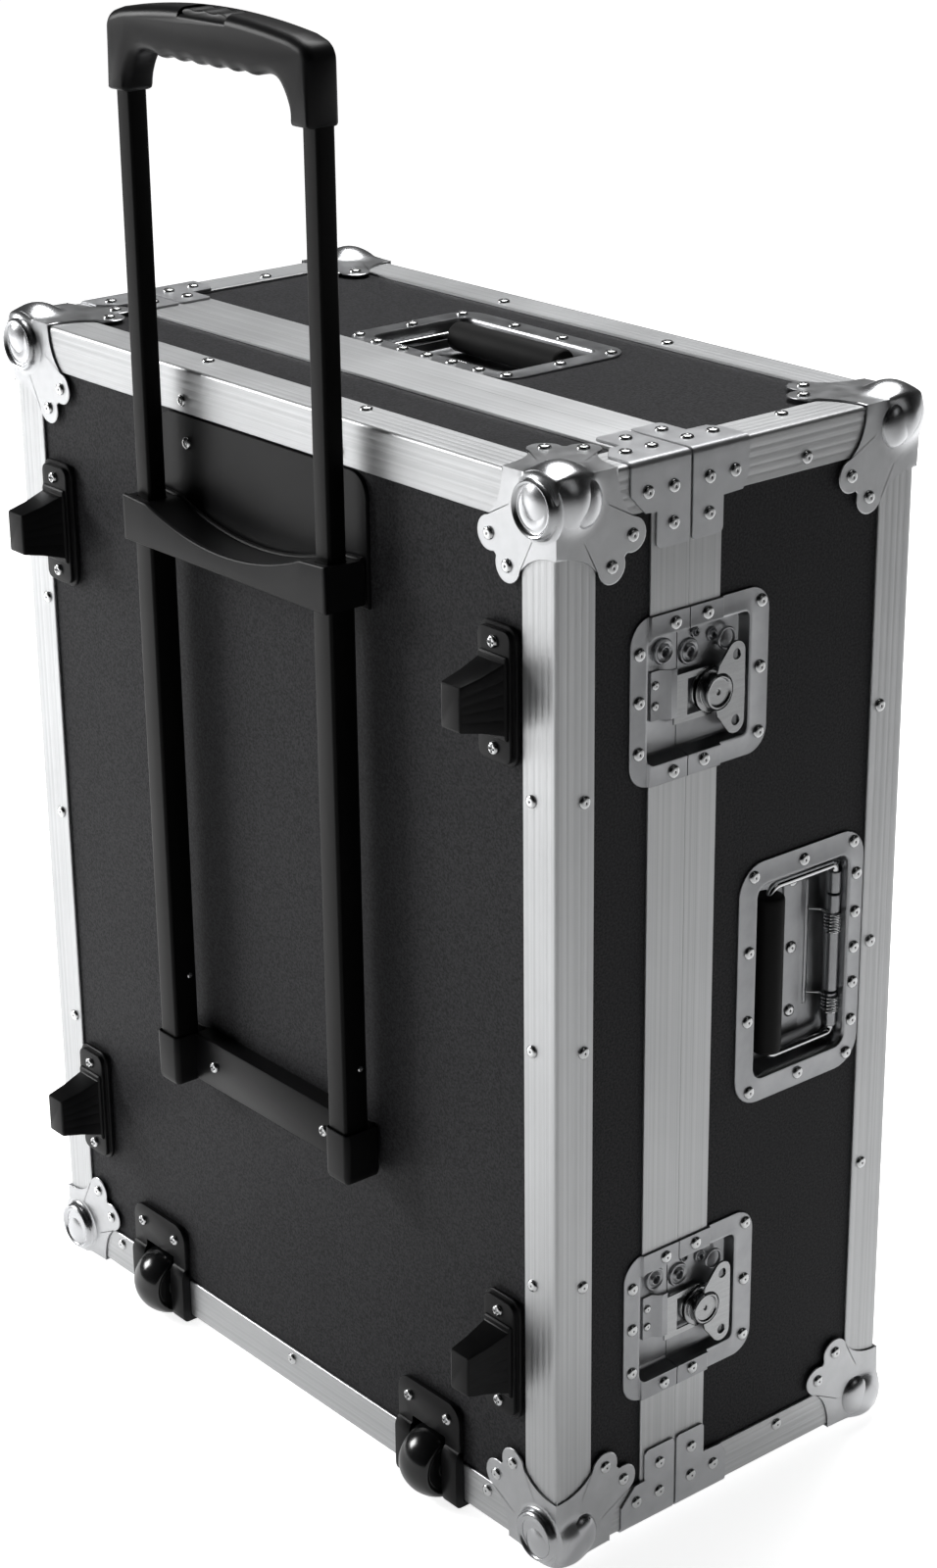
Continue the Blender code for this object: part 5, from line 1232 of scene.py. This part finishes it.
TUBE_X = (86.0, 104.5)
TUBE_Y = (-26.6, -7.0)
INNER_X = (87.8, 102.4)
INNER_Y = (-24.9, -11.0)
TUBE_FROM = 216.3
TUBE_TO = 627.7
TUBE_WALL = 1.4
TUBE_SPARE = 0.3
INNER_SPARE = 0.4
COLLAR_FROM = 607.0
COLLAR_HALF = 107.5
COLLAR_Y = (-33.0, -1.3)
COLLAR_MIDDLE_Y = -17.0
COLLAR_STEP = 628.0
ARC_LOW = 620.0
ARC_RADIUS = 224.6
ARC_HALF = 82.0

# Satin paint on steel: an even near-black film with a slight orange peel.
satin_paint = mottled("satin_black_paint_on_steel", ("050505", "0A0A0A"), 70.0, (0.32, 0.44),
                      {"IOR": 1.5, "Specular IOR Level": 0.10}, (2.5, 1.0, 0.08, 0.0001))


def upright_tube(xs, ys, wall, low, high):
    """A rectangular tube with round edges: its outline carried up the outside and
    down the inside, and joined to itself."""
    middle = (sum(xs) / 2, sum(ys) / 2)
    half = ((xs[1] - xs[0]) / 2, (ys[1] - ys[0]) / 2)
    steps = ((wall, low), (0.0, low), (0.0, high), (wall, high), (wall, low))
    rings = [rounded_outline(half[0] - inset, half[1] - inset, 2.2 - inset * 0.6, 5) + middle
             for inset, z in steps]
    return tubes(np.array([raised(ring, z) for ring, (inset, z) in zip(rings, steps)]), False)


def opened(shape, low, high):
    """Leaves out the faces whose middle lies inside a box."""
    kept = []
    for faces in shape[1]:
        middle = shape[0][faces].mean(1)
        kept.append(faces[~((middle > low) & (middle < high)).all(1)])
    return [shape[0], kept]


def collar_top(x):
    """Height of the collar's top: a circle's arc between two straight shoulders."""
    arc = ARC_LOW + ARC_RADIUS - np.sqrt(ARC_RADIUS ** 2 - np.minimum(np.abs(x), ARC_HALF) ** 2)
    shoulder = np.interp(np.abs(x), (ARC_HALF, COLLAR_HALF), (0.0, 1.6))
    return arc + shoulder


def collar():
    """A section carried along the collar's length: bottom, front, a rolled lip, the
    hollow top, a second lip and the back, with the two tube holes left open."""
    holes = [(INNER_X[0] - INNER_SPARE, INNER_X[1] + INNER_SPARE),
             (TUBE_X[0] - TUBE_SPARE, TUBE_X[1] + TUBE_SPARE)]
    edges = np.array([COLLAR_HALF, COLLAR_HALF - 0.5, COLLAR_HALF - 1.5, *holes[0], *holes[1]])
    x = np.unique(np.concatenate([edges, -edges, np.linspace(-ARC_HALF, ARC_HALF, 41)]))[:, None]
    lip = np.array([(0.0, -1.3), (0.2, -0.4), (0.9, 0.3), (1.7, 0.5), (2.5, 0.2), (3.1, -0.6), (3.6, -1.2)])
    front, back = COLLAR_Y
    over_y = np.concatenate([front + lip[:, 0], [INNER_Y[0] - INNER_SPARE, INNER_Y[1] + INNER_SPARE],
                             back - lip[::-1, 0]])
    over_z = np.concatenate([lip[:, 1], [-1.2, -1.2], lip[::-1, 1]])
    under_y = np.array([back, back - 0.5, TUBE_Y[1] + TUBE_SPARE, TUBE_Y[0] - TUBE_SPARE,
                        front + 0.5, front])
    under_z = np.array([0.5, 0.0, 0.0, 0.0, 0.0, 0.5]) + COLLAR_FROM
    y = np.broadcast_to(np.concatenate([over_y, under_y]), (len(x), len(over_y) + 6))
    z = np.concatenate([collar_top(x) + over_z, np.broadcast_to(under_z, (len(x), 6))], 1)
    ends = np.maximum(np.abs(x) - (COLLAR_HALF - 1.5), 0) / 1.5
    draw = 1 - 0.06 * (1 - np.sqrt(1 - np.minimum(ends, 1) ** 2))
    y = (y - COLLAR_MIDDLE_Y) * draw + COLLAR_MIDDLE_Y
    body = tubes(np.stack(np.broadcast_arrays(x, y, z), -1))
    shapes = []
    for sign in (-1, 1):
        rings = []
        for (near, far), ys, spare, z in (
            (holes[0], INNER_Y, INNER_SPARE, None), (holes[0], INNER_Y, INNER_SPARE, COLLAR_STEP),
            (holes[1], TUBE_Y, TUBE_SPARE, COLLAR_STEP), (holes[1], TUBE_Y, TUBE_SPARE, COLLAR_FROM),
        ):
            flat = np.array([(near, ys[0] - spare), (far, ys[0] - spare), (far, ys[1] + spare),
                             (near, ys[1] + spare)])
            level = collar_top(flat[:, 0]) - 1.2 if z is None else z
            rings.append(raised(flat * (sign, 1), level))
        shapes.append(tubes(np.array(rings), False))
        for (near, far), ys, low, high in ((holes[0], INNER_Y, 630.0, 640.0),
                                           (holes[1], TUBE_Y, 600.0, 608.0)):
            sides = sorted((sign * near, sign * far))
            body = opened(body, (sides[0], ys[0] - 0.5, low), (sides[1], ys[1] + 0.5, high))
    return [body, *shapes]


def cap_below():
    """The socket under a tube: round rectangles from its domed floor up the outside,
    over a rolled rim, and down the inside."""
    middle = (95.75, -14.2)
    half = (11.75, 14.4)
    levels = ((7.0, 213.0), (3.0, 213.2), (1.2, 214.2), (0.3, 216.0), (0.0, 219.0), (0.0, 249.0),
              (0.35, 249.8), (0.8, 250.0), (1.3, 249.6), (1.5, 248.6), (1.5, 216.2))
    rings = [rounded_outline(half[0] - inset, half[1] - inset, max(4.0 - inset, 1.2), 6) + middle
             for inset, z in levels]
    return tubes(np.array([raised(ring, z) for ring, (inset, z) in zip(rings, levels)]))


BRIDGE = ((1.7, 215.0), (1.7, 250.0), (-10.8, 250.0), (-11.6, 249.7), (-12.0, 249.0), (-12.0, 216.0),
          (-11.6, 215.3), (-10.8, 215.0))
BACKING_CORNERS = np.radians(np.linspace(0, 90, 9))
BACKING = np.concatenate([
    [(-109.0, 604.0), (109.0, 604.0)],
    (94.0, 674.0) + 15 * np.stack([np.cos(BACKING_CORNERS), np.sin(BACKING_CORNERS)], -1),
    (-94.0, 674.0) + 15 * np.stack([-np.sin(BACKING_CORNERS), np.cos(BACKING_CORNERS)], -1),
])

build("trolley_backing_sheet", [carried(BACKING, ((0.0, 1.6), (0.0, -0.6), (0.4, -1.0)))],
      moulded_nylon, "tray", ["trolley_backing_plate"])
build("trolley_backing_rivets", [domes([(x, -1.0, 671.0) for x in (-77.0, 77.0)], [(0, -1, 0)] * 2)],
      bright_nickel, "tray")
build("trolley_collar_moulding", collar(), moulded_nylon, "tray",
      ["trolley_collar"])
cap_shape = cap_below()
build("trolley_bottom_moulding",
      [across_x(BRIDGE, -85.0, 85.0), cap_shape, [cap_shape[0] * (-1, 1, 1), *cap_shape[1:]]],
      moulded_nylon, "tray", ["trolley_bottom_bracket"])
build("trolley_bottom_screws", [screw_heads([(x, -12.0, 232.0) for x in (-62.0, 62.0)])],
      bright_nickel, "tray")
for side_name, side in (("left", -1), ("right", 1)):
    outer = upright_tube(TUBE_X, TUBE_Y, TUBE_WALL, TUBE_FROM, TUBE_TO)
    build(f"trolley_outer_tube_{side_name}_section", [[outer[0] * (side, 1, 1), *outer[1:]]],
          satin_paint, "tray", [f"trolley_outer_tube_{side_name}"])
    face = TUBE_X[1] if side > 0 else -TUBE_X[0]
    build(f"trolley_tube_pin_{side_name}",
          [domes([(face, -13.0, 294.0)], [(1, 0, 0)], radius=2.2, height=1.0)], bright_nickel,
          "tray")


# The moving part slides in those tubes: two inner tubes, a moulded grip with a
# wavy underside for four fingers, and a button in a pocket of the grip, with a
# bar under it and two rods that reach down the tubes.

INNER_FROM = 498.0
INNER_TO = 924.2
INNER_WALL = 1.2
GRIP_HALF = 104.0
GRIP_Y = (-31.0, -9.0)
GRIP_FROM = 895.5
GRIP_TOP = 953.2
POCKET_HALF = 24.0
POCKET_FLOOR = 941.3
POCKET_BACK = -11.5
LIP_TOP = 948.5
LIP_DEEP = 2.7
EDGE_IN = 6.5
EDGE_DEEP = 7.5


def smooth(points, steps=6):
    """A curve through the points: each stretch is the cubic whose slope at a point
    is half the step between that point's neighbours."""
    points = np.array(points, float)
    ends = np.concatenate([[2 * points[0] - points[1]], points, [2 * points[-1] - points[-2]]])
    share = np.linspace(0, 1, steps, endpoint=False)[:, None, None]
    before, start, end, after = ends[:-3], ends[1:-2], ends[2:-1], ends[3:]
    curve = 0.5 * (2 * start + (end - before) * share
                   + (2 * before - 5 * start + 4 * end - after) * share ** 2
                   + (3 * start - before - 3 * end + after) * share ** 3)
    return np.concatenate([curve.transpose(1, 0, 2).reshape(-1, 2), points[-1:]])


def crown(x):
    """Height of the grip's top: highest in the middle, lower with the distance squared."""
    return GRIP_TOP - 9.0 * (x / GRIP_HALF) ** 2


def grip():
    """Outlines from the front face to the back. The rim stands in by an ellipse's arc
    near the front and by a small round at the back. Between its sides the outline
    dips to the lip in front of the button's pocket, and then to the pocket's floor
    as far as its back wall."""
    under = smooth([(0.0, 921.0), (9.0, 919.9), (18.0, 921.4), (27.0, 919.9), (36.0, 921.3),
                    (46.0, 919.9), (56.0, 921.8), (65.0, 922.0), (72.0, 919.5), (77.5, 913.0),
                    (81.5, 904.5), (83.3, 898.6)])
    foot = [(84.6, 896.4), (86.6, GRIP_FROM), (100.0, GRIP_FROM), (102.2, 896.2), (103.5, 898.1)]
    turn = np.radians(np.linspace(0, 78, 9))
    shoulder = (92.0, 933.0) + np.array((12.0, 12.0)) * np.stack([np.cos(turn), np.sin(turn)], -1)
    x = np.linspace(87.0, POCKET_HALF, 12)
    pocket = np.stack([np.linspace(POCKET_HALF, 0, 5), np.full(5, POCKET_FLOOR)], -1)
    right = np.concatenate([under, foot, shoulder, np.stack([x, crown(x)], -1), pocket])
    outline = np.concatenate([right, right[-2:0:-1] * (-1, 1)])
    fixed = np.abs(outline[:, 1] - POCKET_FLOOR) < 1e-6
    brink = (np.abs(np.abs(outline[:, 0]) - POCKET_HALF) < 1e-6) & (outline[:, 1] > LIP_TOP)
    along = np.roll(outline, -1, 0) - np.roll(outline, 1, 0)
    inward = np.stack([-along[:, 1], along[:, 0]], -1)
    inward /= np.linalg.norm(inward, axis=1)[:, None]
    inward *= np.interp(outline[:, 1], (GRIP_FROM, GRIP_FROM + 10), (0.34, 1.0))[:, None]
    inward[brink] = (0.0, -1.0)
    inward[fixed] = 0.0
    front, back = GRIP_Y
    deep = np.array([0.0, 0.35, 1.1, 2.0, LIP_DEEP, LIP_DEEP, 4.2, 6.2, POCKET_BACK - front])
    arc = EDGE_IN * (1 - np.sqrt(1 - np.maximum(1 - deep / EDGE_DEEP, 0) ** 2))
    lip = np.array([-2.4, -1.5, -0.6, -0.1, 0.0]) + LIP_TOP
    levels = list(zip(arc, front + deep, [*lip, *np.full(4, POCKET_FLOOR)]))
    top = crown(outline[fixed, 0])
    levels += [(inset, y, top - inset) for inset, y in (
        (0.0, POCKET_BACK), (0.5, back - 1.5), (1.5, back - 0.5), (2.8, back))]
    rings = []
    for inset, y, floor in levels:
        z = outline[:, 1].copy()
        z[fixed] = floor
        flat = np.stack([outline[:, 0], z], -1) + inset * inward
        rings.append(raised(flat, y, 1))
    return tubes(np.array(rings))


def button():
    """The button's wavy pad: its top outline carried back, with an eased front edge."""
    wave = smooth([(23.4, 950.4), (20.0, 951.8), (15.0, 952.4), (10.0, 951.6), (5.0, 951.8),
                   (0.0, 952.6), (-5.0, 951.8), (-10.0, 951.6), (-15.0, 952.4), (-20.0, 951.8),
                   (-23.4, 950.4)], 4)
    outline = np.concatenate([wave, [(-23.4, 945.3), (23.4, 945.3)]])
    return carried(outline[::-1], ((1.3, -28.0), (0.5, -27.7), (0.0, -26.9), (0.0, -12.0)))


def rod(x, low, high):
    """A round rod down a tube."""
    return tubes(turned(((2.0, low), (2.0, high)), (x, -19.0, 0), 2, 16))


build("trolley_grip_moulding", [grip()], moulded_nylon, "trolley_handle",
      ["handle_grip"], sharp=44)
build("release_button_moulding",
      [button(), across_x(((-16.5, 931.2), (-16.5, 934.0), (-21.5, 934.0), (-21.5, 931.2)), -98.0, 98.0),
       rod(-95.7, 513.0, 932.0), rod(95.7, 513.0, 932.0)],
      moulded_nylon, "release_button", ["release_button"])
for side_name, side in (("left", -1), ("right", 1)):
    inner = upright_tube(INNER_X, INNER_Y, INNER_WALL, INNER_FROM, INNER_TO)
    build(f"trolley_inner_tube_{side_name}_section", [[inner[0] * (side, 1, 1), *inner[1:]]],
          satin_paint, "trolley_handle", [f"inner_tube_{side_name}"])


# Both halves are lined with 10 mm sheets of closed-cell foam, cut with windows for
# the latches, handles and wheel wells and glued to the boards.

FOAM_OUT = 9.3
FOAM_THICK = 10.0
FOAM_IN = FOAM_OUT + FOAM_THICK
GLUE_GAP = 0.2


def foam_sheet(flat_a, flat_b, outer, inner, windows, place):
    """A sheet with square windows: a grid over both directions with a line at every
    window's edge, without the cells in the windows, on both faces, and a wall
    along each cell edge that has a cell on one side only."""
    a = np.unique(np.concatenate([flat_a, *(window[0] for window in windows)]))
    b = np.unique(np.concatenate([flat_b, *(window[1] for window in windows)]))
    a = a[(a >= flat_a[0]) & (a <= flat_a[1])]
    b = b[(b >= flat_b[0]) & (b <= flat_b[1])]
    mid_a, mid_b = np.meshgrid((a[1:] + a[:-1]) / 2, (b[1:] + b[:-1]) / 2, indexing="ij")
    solid = np.ones(mid_a.shape, bool)
    for (low_a, high_a), (low_b, high_b) in windows:
        solid &= ~((mid_a > low_a) & (mid_a < high_a) & (mid_b > low_b) & (mid_b < high_b))
    numbers = np.arange(len(a) * len(b)).reshape(len(a), len(b))
    cells = np.stack([numbers[:-1, :-1], numbers[1:, :-1], numbers[1:, 1:], numbers[:-1, 1:]], -1)
    padded = np.pad(solid, 1)
    count = numbers.size
    walls = []
    for change, first, second in (
        (padded[1:, 1:-1] != padded[:-1, 1:-1], numbers[:, :-1], numbers[:, 1:]),
        (padded[1:-1, 1:] != padded[1:-1, :-1], numbers[:-1, :], numbers[1:, :]),
    ):
        start, end = first[change], second[change]
        walls.append(np.stack([start, end, end + count, start + count], -1))
    grid_a, grid_b = np.meshgrid(a, b, indexing="ij")
    flat = np.stack([grid_a.ravel(), grid_b.ravel()], -1)
    points = np.concatenate([raised(flat, level) for level in (outer, inner)])
    faces = np.concatenate([cells[solid], cells[solid] + count, *walls])
    return [place(points), [faces]]


# Closed-cell foam: charcoal and quite matt, with open cells of about 1.5 mm that
# the slicing knife left, and a soft uneven tone.
cell_foam, tree = blank("charcoal_closed_cell_foam")
where = add(tree, "ShaderNodeTexCoord").outputs["Object"]
cells = add(tree, "ShaderNodeTexVoronoi", {"Vector": where, "Scale": per(1.5)})
mottle = add(tree, "ShaderNodeTexNoise", {"Vector": where, "Scale": per(30.0), "Detail": 4.0})
tone = add(tree, "ShaderNodeMix",
           {0: mottle.outputs[0], 6: linear("26272A"), 7: linear("343539")}, data_type="RGBA")
dull = add(tree, "ShaderNodeMapRange", {0: mottle.outputs[0], 3: 0.86, 4: 0.98})
relief = add(tree, "ShaderNodeBump",
             {"Height": cells.outputs[0], "Strength": 0.6, "Distance": 0.0006})
shader = add(tree, "ShaderNodeBsdfPrincipled",
             {"Base Color": tone.outputs[2], "Roughness": dull.outputs[0],
              "Normal": relief.outputs[0], "Sheen Weight": 0.2})
wrap(shader.outputs[0], tree)

LATCH_WINDOWS = [((70.4, 156.6), (middle - 41.1, middle + 41.1)) for middle in LATCH_MIDDLES]
WHEEL_WINDOWS = [((x - 20.5, x + 20.5), (0.0, 47.0)) for x in (-WHEEL_X, WHEEL_X)]
WELL_WINDOWS = [((x - 20.5, x + 20.5), (0.0, 34.0)) for x in (-WHEEL_X, WHEEL_X)]
SIDE_WINDOW = ((SIDE_EDGE_Y - 97.0, SIDE_EDGE_Y - 11.5), (SIDE_MIDDLE_Z - 69.0, SIDE_MIDDLE_Z + 69.0))
TOP_WINDOW = ((-69.0, 69.0), (TOP_EDGE_Y + 11.5, TOP_EDGE_Y + 97.0))


def lining(body, floor, walls_y, floor_windows, side_windows, top_windows, low_windows):
    """Five sheets: the floor of a half, its two sides, its top and its bottom."""
    half_x, low, high = WIDTH / 2 - FOAM_OUT, FOAM_OUT, HEIGHT - FOAM_OUT
    sheets = [foam_sheet((-half_x, half_x), (low, high), *floor, floor_windows,
                         lambda points: points[:, [0, 2, 1]])]
    for side in (-1, 1):
        windows = LATCH_WINDOWS + (side_windows if side > 0 else [])
        inside = FOAM_THICK + GLUE_GAP
        sheets.append(foam_sheet(walls_y, (low + inside, high - inside), half_x,
                                 half_x - FOAM_THICK, windows,
                                 lambda points: points[:, [2, 0, 1]] * (side, 1, 1)))
    for level, near, windows in ((-1, FOAM_OUT, low_windows), (1, HEIGHT - FOAM_OUT, top_windows)):
        sheets.append(foam_sheet((-half_x, half_x), walls_y, near, near - level * FOAM_THICK, windows,
                                 lambda points: points))
    piece = build(f"{body}_foam_sheets", sheets, cell_foam, body, [f"{body}_foam_lining"])


lining("tray", (FOAM_OUT, FOAM_IN), (FOAM_IN + GLUE_GAP, 103.0), WHEEL_WINDOWS, [], [],
       WELL_WINDOWS)
lining("lid", (DEPTH - FOAM_OUT, DEPTH - FOAM_IN), (104.0, DEPTH - FOAM_IN - GLUE_GAP), [],
       [SIDE_WINDOW], [TOP_WINDOW], [])
